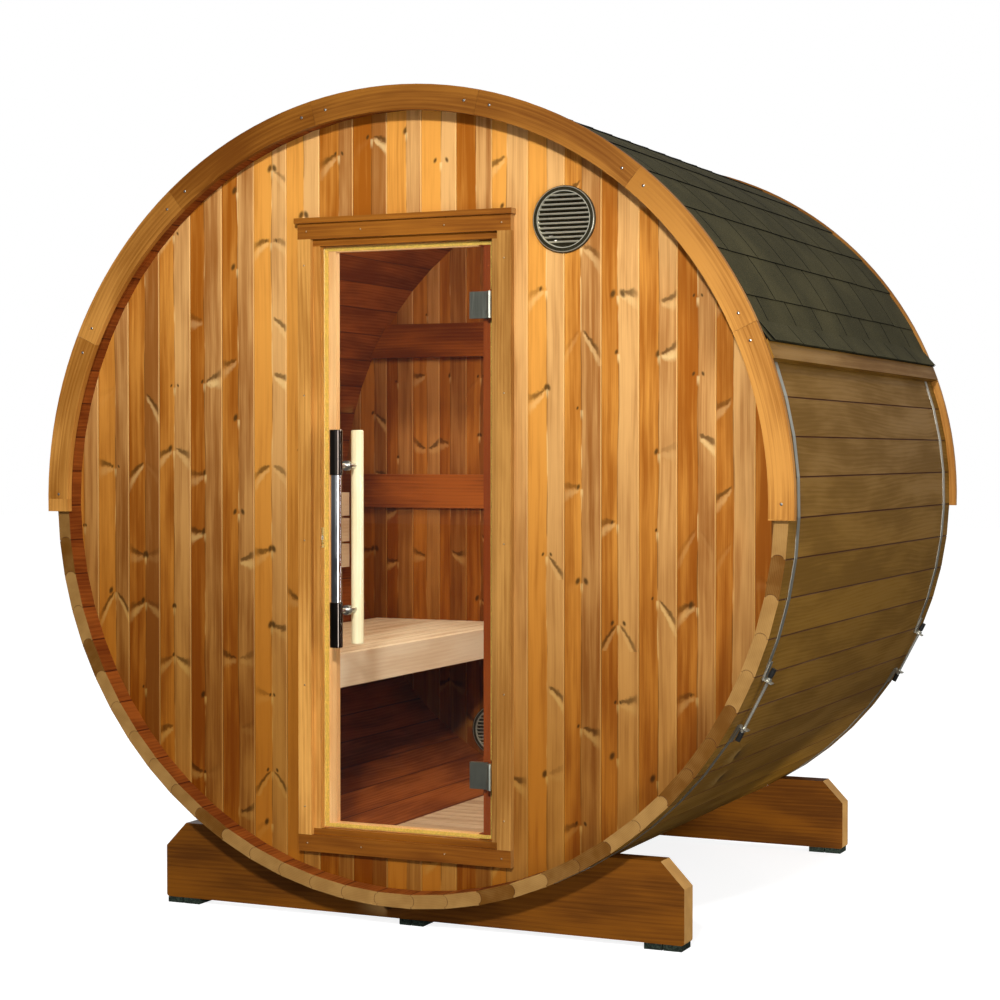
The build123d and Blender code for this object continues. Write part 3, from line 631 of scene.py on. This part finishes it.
def wood(name, light, dark, grain="Z", strips=("X", 10.0, -5.0), knots=0.25, figure=1.0,
         variety=0.35, gloss=0.42, knot=srgb(62, 34, 14), flame=srgb(226, 178, 112),
         end=None, end_axis=None, joint=None, sink=None, inner=None, hinge_side=None):
    """Planed or sawn wood. end is the dark and light colour of the faces square to end_axis.
    joint is the colour, start and strength of the line at the strips' edges. sink is the height
    where the wood is fully darkened, the height where that ends, and its strength; it makes the
    cross boards darker towards the floor and the top barge boards a darker tone. inner is the dark
    and light colour of the barrel's inner face. hinge_side tints what lies on that side of the
    doorway."""
    material, graph, shader = new_material(name)
    along, index, share, depth = grain_space(graph, grain, strips)
    seed = graph.random(graph.plus(index, 0.37))
    group = graph.add("Group", node_tree=WOOD_GRAIN)
    graph.put(group.inputs["Along"], along)
    graph.put(group.inputs["Seed"], seed)
    graph.put(group.inputs["Figure"], figure)
    graph.put(group.inputs["Knots"], knots)
    tone = graph.plus(group.outputs["Tone"], graph.times(graph.minus(seed, 0.5), variety))
    tone = graph.spread(tone, 0.05, 0.95)
    color = graph.mix(tone, dark, light)
    if inner is not None:
        inside = graph.spread(depth, STAVE_INNER_FACE + 0.003, STAVE_INNER_FACE + 0.001)
        color = graph.mix(inside, color, graph.mix(tone, *inner))
    pale = graph.largest(group.outputs["Flame"], 0.0)
    shade = graph.math("MINIMUM", group.outputs["Flame"], 0.0)
    color = graph.mix(graph.times(pale, 0.7), color, flame)
    color = graph.mix(graph.times(shade, -0.55), color, knot)
    color = graph.mix(graph.times(group.outputs["Knot"], 0.85), color, knot)
    if joint is not None:
        edge = graph.spread(graph.unsigned(share), joint[1], 0.5)
        color = graph.mix(graph.times(edge, joint[2]), color, joint[0])
    if end is not None:
        facing = graph.split(graph.normal())["XYZ".index(end_axis)]
        facing = graph.spread(graph.unsigned(facing), 0.58, 0.68)
        sawn = end_grain(graph, depth, share, seed, *end)
        if joint is not None:
            seam = graph.spread(graph.unsigned(share), 0.484, 0.494, 0.0, 0.5)
            sawn = graph.mix(seam, sawn, joint[0])
        color = graph.mix(facing, color, sawn)
    x, y, z = graph.split(graph.place())
    if sink is not None:
        # Darker by height: the cross boards towards the floor, the top barge boards in their darker
        # tone
        color = graph.tint(graph.spread(z, sink[1], sink[0], 0.0, sink[2]), color, DARK_TONE_AND_SHADE)
    if hinge_side is not None:
        color = graph.tint(graph.math("GREATER_THAN", x, HINGE_SIDE), color, hinge_side)
    graph.put(shader.inputs["Base Color"], color)
    graph.put(shader.inputs["Roughness"], graph.spread(group.outputs["Tone"], 0.0, 1.0,
                                                       gloss + 0.12, gloss - 0.06))
    graph.put(shader.inputs["Specular IOR Level"], WOOD_SHINE)
    graph.put(shader.inputs["Normal"], graph.bump(group.outputs["Height"], 0.25, 0.0006))
    return material


def pith_boards(name, orange, sheen_tan, flare, knot, joint_highlight, indoors, gloss=0.34):
    """Upright wall boards. Two pairs of dark and light tones colour a board's two halves: orange on
    one, and on the other a paler pair that is a painted sheen, the light its grain catches there.
    indoors is the tint of the cabin's side. The outside darkens towards the floor and the left, a
    painted shade where less lamp light falls."""
    material, graph, shader = new_material(name)
    x, y, z = graph.split(graph.place())
    board, share = strip_of(graph, x, BOARD_PITCH, BOARD_PHASE)
    board = graph.plus(board, graph.times(graph.math("GREATER_THAN", y, 0.0), REAR_BOARD_SHIFT))
    group = graph.add("Group", node_tree=BOARD_GRAIN)
    graph.put(group.inputs["Across"], graph.times(share, BOARD_PITCH))
    graph.put(group.inputs["Up"], z)
    graph.put(group.inputs["Board"], board)
    own = graph.random(graph.plus(board, 3.3))
    tone = graph.plus(group.outputs["Tone"], graph.times(graph.minus(own, 0.55), 0.5))
    tone = graph.spread(tone, 0.05, 0.95)
    # Painted sheen: the paler tones on one half of each board stand in for the light its grain
    # catches there
    color = graph.mix(graph.times(group.outputs["Side"], 0.85),
                      graph.mix(tone, *orange), graph.mix(tone, *sheen_tan))
    color = graph.mix(graph.times(group.outputs["Flare"], 0.60), color, flare)
    color = graph.mix(graph.times(group.outputs["Knot"], 0.85), color, knot)
    # Painted highlight: a pale line along each board joint, for the light caught by the groove's
    # faces
    edge = graph.spread(graph.unsigned(share), 0.476, 0.488)
    color = graph.mix(graph.times(edge, 0.60), color, joint_highlight)
    # Painted shade: the outside is darkened towards the floor and the left, where less lamp light
    # falls
    lean = graph.plus(z, graph.times(x, 0.2))
    color = graph.tint(graph.spread(lean, 1.90, 0.30, 0.0, 1.0), color, DARK_TONE_AND_SHADE)
    color = graph.tint(graph.spread(graph.unsigned(y), *WALL_INDOORS), color, indoors)
    graph.put(shader.inputs["Base Color"], color)
    graph.put(shader.inputs["Roughness"], graph.spread(group.outputs["Height"], 0.2, 0.8,
                                                       gloss + 0.08, gloss - 0.05))
    graph.put(shader.inputs["Specular IOR Level"], WOOD_SHINE)
    graph.put(shader.inputs["Normal"], graph.bump(group.outputs["Height"], 0.2, 0.0005))
    return material


# Metal, glass, mineral and plastic

def brushed(name, color, axis, roughness):
    """Metal with fine lines along an axis, 0 for X, 1 for Y and 2 for Z."""
    material, graph, shader = new_material(name)
    parts = list(graph.split(graph.place()))
    parts[axis] = graph.times(parts[axis], 0.02)
    lines = graph.noise(graph.vector(*parts), 900.0, 1.0)
    patches = graph.noise(graph.place(), 14.0)
    graph.put(shader.inputs["Base Color"], graph.mix(graph.spread(patches, 0.3, 0.7), color,
                                                     darker(color, 0.82)))
    graph.put(shader.inputs["Metallic"], 1.0)
    graph.put(shader.inputs["Roughness"], graph.spread(lines, 0.2, 0.8, roughness - 0.07,
                                                       roughness + 0.1))
    graph.put(shader.inputs["Normal"], graph.bump(lines, 0.12, 0.0002))
    return material


def pull_metal():
    """Polished tube whose sleeves near both ends get a darker metal colour, a painted dark
    reflection.
    """
    material, graph, shader = new_material("pull metal")
    x, y, z = graph.split(graph.place())
    off = graph.unsigned(graph.minus(z, PULL_MIDDLE))
    # Painted reflection: the sleeves are coloured darker for the dark surroundings they mirror
    sleeve = graph.math("GREATER_THAN", off, PULL_SLEEVE_START)
    smear = graph.noise(graph.place(), 30.0)
    graph.put(shader.inputs["Base Color"], graph.mix(sleeve, srgb(226, 226, 228),
                                                     srgb(84, 76, 70)))
    graph.put(shader.inputs["Metallic"], 1.0)
    graph.put(shader.inputs["Roughness"], graph.spread(smear, 0.3, 0.7, 0.06, 0.14))
    return material


def vent_finish():
    """Dark bronzed flange whose rims and louvre edges are coloured pale, a painted highlight of the
    metal's shine.
    """
    material, graph, shader = new_material("vent metal")
    x, y, z = graph.split(graph.place())
    radii = [graph.hypotenuse(graph.minus(x, middle_x), graph.minus(z, middle_z))
             for middle_x, middle_z in (FRONT_VENT, REAR_VENT)]
    radius = graph.math("MINIMUM", *radii)
    proud = graph.unsigned(graph.minus(graph.unsigned(y), sum(WALL_FACES) / 2))
    louvre = graph.times(graph.math("LESS_THAN", radius, VENT_OPENING),
                         graph.spread(proud, *LOUVRE_EDGES))
    inner_rim = graph.spread(graph.unsigned(graph.minus(radius, VENT_INNER_RIM)), 0.0016, 0.0008)
    outer_rim = graph.spread(graph.unsigned(graph.minus(radius, VENT_OUTER_RIM)), 0.0014, 0.0005,
                             0.0, 0.8)
    # Painted highlight: the rims and louvre edges are coloured pale for the shine of the metal
    painted_highlight = graph.largest(louvre, inner_rim, outer_rim)
    fine = graph.noise(graph.place(), 260.0)
    bronze = graph.mix(graph.spread(fine, 0.3, 0.7), srgb(50, 46, 30), srgb(70, 64, 44))
    graph.put(shader.inputs["Base Color"], graph.mix(painted_highlight, bronze, srgb(214, 208, 186)))
    graph.put(shader.inputs["Metallic"], 0.6)
    graph.put(shader.inputs["Roughness"], graph.spread(fine, 0.3, 0.7, 0.28, 0.36))
    return material


def clear_glass():
    """Glass that lets the light of the lamps through."""
    material, graph, shader = new_material("clear glass")
    graph.put(shader.inputs["Base Color"], (0.97, 0.985, 0.975, 1.0))
    graph.put(shader.inputs["Roughness"], 0.0)
    graph.put(shader.inputs["IOR"], 1.45)
    graph.put(shader.inputs["Transmission Weight"], 1.0)
    graph.put(shader.inputs["Specular IOR Level"], 0.12)
    path = graph.add("LightPath")
    through = graph.add("BsdfTransparent")
    blend = graph.add("MixShader")
    graph.put(blend.inputs[0], graph.largest(path.outputs["Is Shadow Ray"],
                                             path.outputs["Is Diffuse Ray"]))
    graph.put(blend.inputs[1], shader.outputs[0])
    graph.put(blend.inputs[2], through.outputs[0])
    graph.put(material.node_tree.nodes["Material Output"].inputs["Surface"], blend.outputs[0])
    return material


def granules(name, dark, light, size, roughness, edge=None):
    """Mineral or rubber crumb pressed into a sheet. edge colours what doesn't face away from the
    barrel's axis, which is the sheet's cut edges: partly the bitumen's own black, partly painted
    shade for the dark line under each course."""
    material, graph, shader = new_material(name)
    grains = graph.add("TexVoronoi")
    graph.put(grains.inputs["Vector"], graph.place())
    graph.put(grains.inputs["Scale"], size)
    pick = graph.split(grains.outputs["Color"])[0]
    patch = graph.noise(graph.place(), 6.0, 3.0)
    tone = graph.plus(graph.times(graph.math("POWER", pick, 2.2), 0.75),
                      graph.spread(patch, 0.3, 0.75, 0.0, 0.3))
    color = graph.mix(tone, dark, light)
    if edge is not None:
        x, y, z = graph.split(graph.place())
        outward = graph.add("VectorMath", operation="NORMALIZE")
        graph.put(outward.inputs[0], graph.vector(x, 0.0, graph.minus(z, AXIS_HEIGHT)))
        turned = graph.dot(outward.outputs["Vector"], graph.normal())
        # The cut edges: partly the bitumen's own black, partly painted shade for the dark line under
        # each course
        color = graph.mix(graph.spread(turned, 0.7, 0.4), color, edge)
    graph.put(shader.inputs["Base Color"], color)
    graph.put(shader.inputs["Specular IOR Level"], 0.15)
    graph.put(shader.inputs["Roughness"], graph.spread(pick, 0.0, 1.0, roughness, roughness + 0.1))
    graph.put(shader.inputs["Normal"], graph.bump(grains.outputs["Distance"], 0.5, 0.0008))
    return material


def plain(name, color, roughness):
    """Moulded stuff with a faint texture."""
    material, graph, shader = new_material(name)
    fine = graph.noise(graph.place(), 300.0)
    graph.put(shader.inputs["Base Color"], graph.mix(graph.spread(fine, 0.35, 0.65),
                                                     darker(color, 0.75), color))
    graph.put(shader.inputs["Roughness"], graph.spread(fine, 0.3, 0.7, roughness - 0.05,
                                                       roughness + 0.08))
    graph.put(shader.inputs["Normal"], graph.bump(fine, 0.1, 0.0002))
    return material


# Finishes

wall_boards_oil = pith_boards(
    "wall boards", orange=(srgb(156, 86, 18), srgb(226, 156, 68)),
    sheen_tan=(srgb(152, 95, 41), srgb(222, 172, 108)), flare=srgb(248, 214, 148),
    knot=srgb(66, 46, 18), joint_highlight=srgb(236, 192, 118), indoors=(0.78, 0.66, 0.58, 1.0))
stave_oil = wood(
    "staves", srgb(140, 100, 30), srgb(114, 79, 17), "stave", ("A", STAVE_PITCH, STAVE_PHASE),
    knots=0.10, gloss=0.5, knot=srgb(66, 46, 18), flame=srgb(150, 118, 62),
    end=(srgb(104, 64, 16), srgb(166, 126, 70)), end_axis="Y",
    joint=(srgb(68, 22, 7), 0.464, 1.0), inner=(srgb(100, 42, 8), srgb(150, 78, 26)))
barge_oil = wood(
    "barge boards", srgb(198, 138, 64), srgb(142, 86, 24), "ring",
    ("A", BARGE_JOINT_STEP, BARGE_FIRST_JOINT), knots=0.10, figure=0.5, variety=0.4,
    flame=srgb(206, 150, 78), sink=(2.12, 1.5, 0.9))
frame_oil = wood(
    "door frame", srgb(222, 162, 82), srgb(166, 108, 41), "Z", ("X", 0.5, -0.5),
    knots=0.10, variety=0.1, figure=0.4, hinge_side=(0.66, 0.65, 0.66, 1.0))
cross_oil = wood(
    "cross boards", srgb(160, 98, 30), srgb(116, 62, 12), "X", ("Z", 0.4, 0.1),
    knots=0.10, variety=0.15, figure=0.4, end=(srgb(120, 78, 34), srgb(200, 148, 84)),
    end_axis="X", sink=(0.22, 0.32, 0.5))
ledger_oil = wood(
    "ledger boards", srgb(156, 82, 26), srgb(102, 44, 8), "X", ("Z", 0.4, 0.1),
    knots=0.20, variety=0.15, figure=0.4)
stop_wood = wood(
    "door stops", srgb(240, 192, 130), srgb(216, 158, 96), "Z",
    knots=0.03, variety=0.1, figure=0.3, hinge_side=srgb(150, 88, 44))
batten_oil = wood(
    "eave battens", srgb(150, 108, 38), srgb(116, 76, 18), "Y", ("X", 1.0, -1.5),
    knots=0.10, variety=0.1, figure=0.4)
# The cradles' colours: the sawn wood's tone darkened by a quarter, partly painted shade for the
# barrel's shadow on the front cradle
cradle_sawn = wood(
    "cradles", srgb(126, 73, 12), srgb(85, 45, 4), "X", ("Y", 1.0, -1.5),
    knots=0.20, variety=0.1, figure=0.5, gloss=0.55,
    end=(srgb(140, 94, 42), srgb(200, 152, 86)), end_axis="X")
aspen = wood(
    "bench aspen", srgb(240, 220, 186), srgb(214, 182, 144), "Y", ("X", 0.057, -0.345),
    knots=0.0, variety=0.3, figure=0.4, gloss=0.5)
# Painted light: a lighter copy of the bench aspen for the fascia, whose face gets less lamp light
fascia_aspen_painted_light = wood(
    "fascia aspen", srgb(250, 232, 200), srgb(232, 204, 166), "Y", ("X", 0.2, -0.4),
    knots=0.0, variety=0.2, figure=0.4, gloss=0.5)
aspen_cross = wood(
    "duckboard aspen", srgb(214, 182, 144), srgb(182, 146, 110), "X", ("Y", 0.056, 0.0),
    knots=0.0, variety=0.3, figure=0.4, gloss=0.5)
grip_aspen = wood(
    "grip aspen", srgb(250, 238, 198), srgb(236, 214, 162), "Z",
    knots=0.0, variety=0.1, figure=0.3, gloss=0.45)
satin_steel = brushed("satin steel", srgb(180, 181, 165), 2, 0.34)
strap_steel = brushed("strap steel", srgb(214, 212, 198), 0, 0.42)
bolt_steel = brushed("bolt steel", srgb(220, 219, 212), 1, 0.26)
nail_steel = brushed("nail steel", srgb(206, 186, 150), 1, 0.4)
pull_finish = pull_metal()
door_pane = clear_glass()
shingle_mineral = granules("shingle mineral", srgb(46, 43, 24), srgb(98, 90, 58), 900.0, 0.85,
                           edge=srgb(10, 9, 7))
foot_crumb = granules("foot crumb", srgb(14, 20, 16), srgb(64, 76, 64), 420.0, 0.8)
seal_rubber = plain("seal rubber", srgb(228, 184, 76), 0.5)
cap_plastic = plain("cap plastic", srgb(26, 26, 26), 0.4)
vent_metal = vent_finish()

NODE_FINISHES = (
    (stave_oil, ("staves_bottom", "staves_lower_right", "staves_upper_right", "staves_top",
                 "staves_upper_left", "staves_lower_left")),
    (ledger_oil, ("rear_ledgers",)),
    (frame_oil, ("door_jambs", "door_casings")),
    (cross_oil, ("door_head", "door_bottom_rail", "door_lintel", "door_sill_board", "drip_cap",
                 "bench_frame")),
    (stop_wood, ("door_side_stops", "door_cross_stops")),
    (seal_rubber, ("door_gasket",)),
    (bolt_steel, ("roller_catch", "pull_standoffs")),
    (satin_steel, ("hinge_leaves", "hinge_clamps")),
    (vent_metal, ("vents",)),
    (strap_steel, ("bands", "tensioners")),
    (cap_plastic, ("tensioner_caps",)),
    (shingle_mineral, ("roof_shingles",)),
    (batten_oil, ("eave_battens",)),
    (cradle_sawn, ("cradles",)),
    (foot_crumb, ("rubber_feet",)),
    (aspen, ("bench_slats", "backrest_slats")),
    (fascia_aspen_painted_light, ("bench_fascia",)),
    (aspen_cross, ("duckboard",)),
    (door_pane, ("door_glass",)),
    (pull_finish, ("door_pull",)),
    (grip_aspen, ("door_grip",)),
)
for material, names in NODE_FINISHES:
    for name in names:
        if not nodes[name].material_slots:
            nodes[name].data.materials.append(material)
        for place in nodes[name].material_slots:
            place.material = material


# Walls of grooved boards

def groove_cutter():
    """Upright bars that cut a V at each board joint, on both faces of a wall."""
    count = int(WALL_HALF_WIDTH // BOARD_PITCH)
    bars = []
    for face in WALL_FACES:
        for step in range(-count, count + 1):
            bpy.ops.mesh.primitive_cylinder_add(
                vertices=4, radius=GROOVE_DEPTH, depth=GROOVE_LENGTH,
                location=(BOARD_PHASE + step * BOARD_PITCH, face, AXIS_HEIGHT))
            bars.append(settle(bpy.context.object))
    return joined(bars, "groove cutter")


def grooved_wall(node, cutter):
    """A wall node's own shape with the board joints cut in."""
    wall = cut(loose_copy(node, "_boards"), cutter)
    dress(wall, wall_boards_oil)
    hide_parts(node)


rear_cutter = groove_cutter()
front_cutter = clean(copy_of(rear_cutter, mirrored((0, 1, 0))))
for part in ("left", "right", "over_door", "under_door"):
    grooved_wall("front_wall_" + part, front_cutter)
grooved_wall("rear_wall", rear_cutter)
remove(rear_cutter)
remove(front_cutter)


# Shingles

def sheet_edge(length, corner):
    """The flat strip that a tab is drawn out from, its inner edge at a corner."""
    bpy.ops.mesh.primitive_plane_add(size=1)
    tab = bpy.context.object
    tab.scale = (TAB_THICKNESS, length, 1)
    tab.location = corner + Vector((TAB_THICKNESS / 2, 0, 0))
    settle(tab)
    bpy.ops.object.mode_set(mode="EDIT")
    bpy.ops.mesh.select_all(action="SELECT")
    return tab


def arc_tab(length, exposure, radius):
    """One tab at angle 0: a bent sheet that rises from its lower edge, centred on y = 0."""
    pivot = Vector((radius, 0, AXIS_HEIGHT))
    tab = sheet_edge(length, pivot)
    bpy.ops.mesh.spin(steps=3, angle=-math.radians(exposure), center=(0, 0, AXIS_HEIGHT),
                      axis=(0, 1, 0))
    bpy.ops.object.mode_set(mode="OBJECT")
    tab.data.transform(turn_about(pivot, -TAB_LEAN, "Y"))
    return clean(tab, flat=False)


def eave_tab(length):
    """One tab of the lowest course, kicked out over the eave batten."""
    spots = [round_spot(radius, angle, 0) for radius, angle in (EAVE_EDGE, EAVE_BEND, EAVE_TOP)]
    tab = sheet_edge(length, spots[0])
    for start, stop in zip(spots, spots[1:]):
        bpy.ops.mesh.extrude_region_move(TRANSFORM_OT_translate={"value": stop - start})
    bpy.ops.object.mode_set(mode="OBJECT")
    return clean(tab, flat=False)


def course_of_tabs(tab, length, angle, shift, draw):
    """Tabs side by side from the front barge boards to the rear ones."""
    reach = BARREL_END - ROOF_END_GAP
    pieces = []
    start = -reach - TAB_LENGTH + shift
    while start < reach:
        low = max(start, -reach)
        high = min(start + TAB_LENGTH - TAB_SLOT, reach)
        start += TAB_LENGTH
        if high - low < TAB_LEAST:
            continue
        stretch = Matrix.Scale((high - low) / length, 4, Vector((0, 1, 0)))
        move = Matrix.Translation(Vector((0, (low + high) / 2, 0)))
        turn = about_axis(angle + draw.uniform(-TAB_JITTER, TAB_JITTER))
        pieces.append(copy_of(tab, turn @ move @ stretch))
    return pieces


def shingle_tabs():
    """The tabs of every course on both slopes."""
    draw = random.Random(7)
    length = TAB_LENGTH - TAB_SLOT
    tab = arc_tab(length, SHINGLE_STEP + TAB_LAP, BARREL_RADIUS + SHINGLE_LIFT)
    low_tab = eave_tab(length)
    pieces = course_of_tabs(low_tab, length, 0.0, TAB_BONDS[1], draw)
    for course in range(SHINGLE_COURSES):
        pieces += course_of_tabs(tab, length, SHINGLE_FIRST + course * SHINGLE_STEP,
                                 TAB_BONDS[course % 2], draw)
    right = joined(pieces, "shingle_tabs_right")
    left = copy_of(right, mirrored((1, 0, 0)))
    left.name = "shingle_tabs_left"
    clean(left, flat=False)
    remove(tab)
    remove(low_tab)
    return right, left


def ridge_caps():
    """Cap pieces lapped along the ridge, each lifted at its rear edge."""
    radius = BARREL_RADIUS + SHINGLE_LIFT + TAB_THICKNESS
    count = int(2 * BARREL_END // RIDGE_EXPOSURE)
    cap = arc_tab(RIDGE_EXPOSURE * RIDGE_LAP, 2 * RIDGE_HALF_ANGLE, radius)
    cap.data.transform(turn_about(Vector((radius, 0, AXIS_HEIGHT)), TAB_LEAN, "Y"))
    cap.data.transform(about_axis(90 - RIDGE_HALF_ANGLE))
    cap.data.transform(turn_about(Vector((0, 0, AXIS_HEIGHT + radius)), RIDGE_TILT, "X"))
    first = -count * RIDGE_EXPOSURE / 2 + RIDGE_EXPOSURE / 2
    pieces = []
    for step in range(count):
        place = Vector((0, first + step * RIDGE_EXPOSURE, 0))
        pieces.append(copy_of(cap, Matrix.Translation(place)))
    remove(cap)
    return joined(pieces, "ridge_caps")


for piece in (*shingle_tabs(), ridge_caps()):
    dress(piece, shingle_mineral)


# Screws and nails

def screw_heads(name, spots, material, radius):
    """Small domed heads that face along Y."""
    heads = []
    for spot in spots:
        bpy.ops.mesh.primitive_uv_sphere_add(segments=16, ring_count=8, radius=radius,
                                             location=spot)
        head = bpy.context.object
        head.scale = (1, SCREW_DOME, 1)
        heads.append(settle(head))
    dress(joined(heads, name), material)


def barge_spots(y):
    """The places on both sides of each joint between the barge boards."""
    spots = []
    for step in range(-1, 7):
        for offset in BARGE_SCREW_OFFSETS:
            angle = BARGE_FIRST_JOINT + step * BARGE_JOINT_STEP + offset
            if -1.0 < angle < 181.0:
                spots.append(round_spot(BARGE_SCREW_RING, angle, y))
    return spots


def pitted_barge(node, outward):
    """A ring of barge boards with a sunk hole for each screw, and the screws."""
    ring = loose_copy(node, "_drilled")
    holes = []
    for spot in barge_spots(outward * BARGE_FACE):
        bpy.ops.mesh.primitive_cylinder_add(vertices=16, radius=PIT_RADIUS, depth=2 * PIT_DEPTH,
                                            location=spot, rotation=(math.pi / 2, 0, 0))
        holes.append(settle(bpy.context.object))
    cutter = joined(holes, "hole cutter")
    cut(ring, cutter)
    remove(cutter)
    dress(ring, barge_oil)
    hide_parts(node)
    screw_heads(node + "_screws", barge_spots(outward * (BARGE_FACE - PIT_DEPTH)), bolt_steel,
                SCREW_RADIUS)


pitted_barge("front_barge_boards", -1)
pitted_barge("rear_barge_boards", 1)
frame_spots = [(side * CASING_NAIL_X, CASING_FACE, z) for side in (-1, 1)
               for z in CASING_NAIL_HEIGHTS]
frame_spots += [(x, CASING_FACE, z) for x in CROSS_NAIL_PLACES for z in CROSS_NAIL_HEIGHTS]
screw_heads("frame_screws", frame_spots, nail_steel, NAIL_RADIUS)


# Threads on the tensioner rods

def rod_threads(name, y):
    """Fine ridges round the rod between the two brackets."""
    ridges = []
    for step in range(-THREADS_EACH_WAY, THREADS_EACH_WAY + 1):
        bpy.ops.mesh.primitive_torus_add(
            major_segments=12, minor_segments=4, major_radius=ROD_RADIUS,
            minor_radius=THREAD_RADIUS, location=(ROD_RING, y, AXIS_HEIGHT + step * THREAD_PITCH))
        ridges.append(settle(bpy.context.object))
    piece = joined(ridges, name)
    piece.data.transform(about_axis(TENSIONER_ANGLE))
    dress(piece, bolt_steel)


rod_threads("front_rod_threads", -BAND_PLACE)
rod_threads("rear_rod_threads", BAND_PLACE)


# Stage, light and camera

def seen_directly(graph):
    """1 for what the camera sees straight on or only through panes, otherwise 0."""
    path = graph.add("LightPath")
    bounces = graph.minus(path.outputs["Ray Depth"], path.outputs["Transmission Depth"])
    through = graph.times(path.outputs["Is Transmission Ray"],
                          graph.math("LESS_THAN", bounces, 0.5))
    return graph.largest(path.outputs["Is Camera Ray"], through)


def stage_floor():
    """A white floor that keeps a soft shadow and looks dark in mirrors."""
    bpy.ops.mesh.primitive_plane_add(size=60)
    floor = bpy.context.object
    floor.name = "floor"
    material, graph, shader = new_material("floor white")
    mirrored_ray = graph.add("LightPath").outputs["Is Glossy Ray"]
    graph.put(shader.inputs["Base Color"], graph.mix(mirrored_ray, FLOOR_GREY,
                                                     FLOOR_IN_MIRRORS))
    graph.put(shader.inputs["Roughness"], 0.9)
    graph.put(shader.inputs["Emission Color"], WHITE)
    graph.put(shader.inputs["Emission Strength"], graph.times(seen_directly(graph), FLOOR_GLOW))
    floor.data.materials.append(material)


def backdrop():
    """A world that lights the object, less from the front left, and shows as white."""
    world = bpy.data.worlds.new("studio")
    bpy.context.scene.world = world
    world.use_nodes = True
    graph = Graph(world.node_tree)
    light = world.node_tree.nodes["Background"]
    toward = graph.dot(graph.add("TexCoord").outputs["Generated"], DARK_SIDE)
    around = graph.spread(toward, 0.45, 0.85, WORLD_LIGHT, WORLD_DARK_SIDE)
    graph.put(light.inputs["Color"], WHITE)
    graph.put(light.inputs["Strength"], graph.largest(around, seen_directly(graph)))


def aimed(name, data, place, turn):
    """An object for a lamp or a camera, at a place and turned."""
    piece = bpy.data.objects.new(name, data)
    piece.location = place
    piece.rotation_euler = turn
    bpy.context.collection.objects.link(piece)
    return piece


def lamp(name, kind, place, target, energy, **settings):
    """A lamp at a place that shines at a target."""
    data = bpy.data.lights.new(name, kind)
    data.energy = energy
    for key, value in settings.items():
        setattr(data, key, value)
    way = Vector(target) - Vector(place)
    aimed(name, data, place, way.to_track_quat("-Z", "Y").to_euler())


def camera():
    data = bpy.data.cameras.new("camera")
    data.lens = CAMERA_LENS
    data.sensor_width = CAMERA_SENSOR
    data.clip_start = 0.05
    data.clip_end = 200.0
    turn = (math.radians(90 - CAMERA_DIP), 0.0, math.radians(CAMERA_HEADING))
    bpy.context.scene.camera = aimed("camera", data, CAMERA_PLACE, turn)


stage_floor()
backdrop()
lamp("key", "AREA", (1.7, -5.2, 3.0), (0, -0.8, 1.1), 215.0, shape="DISK", size=0.35)
lamp("side strip", "AREA", (4.8, -3.4, 1.1), (0.4, -0.2, 0.6), 92.0, shape="RECTANGLE",
     size=0.7, size_y=2.4)
lamp("rear fill", "AREA", (-3.5, 4.5, 3.6), (0, 0.8, 1.1), 110.0, shape="DISK", size=1.5)
lamp("cabin lamp", "AREA", (0.25, -0.1, 1.96), (-0.15, 0.1, 0.3), 20.0, shape="RECTANGLE",
     size=0.5, size_y=0.9, color=(1.0, 0.88, 0.72))
lamp("cradle spot", "SPOT", (2.3, -1.9, 0.10), (0.72, 0.62, 0.12), 280.0,
     spot_size=math.radians(15), spot_blend=0.6, shadow_soft_size=0.05)
camera()
bpy.context.scene.view_settings.view_transform = "Standard"
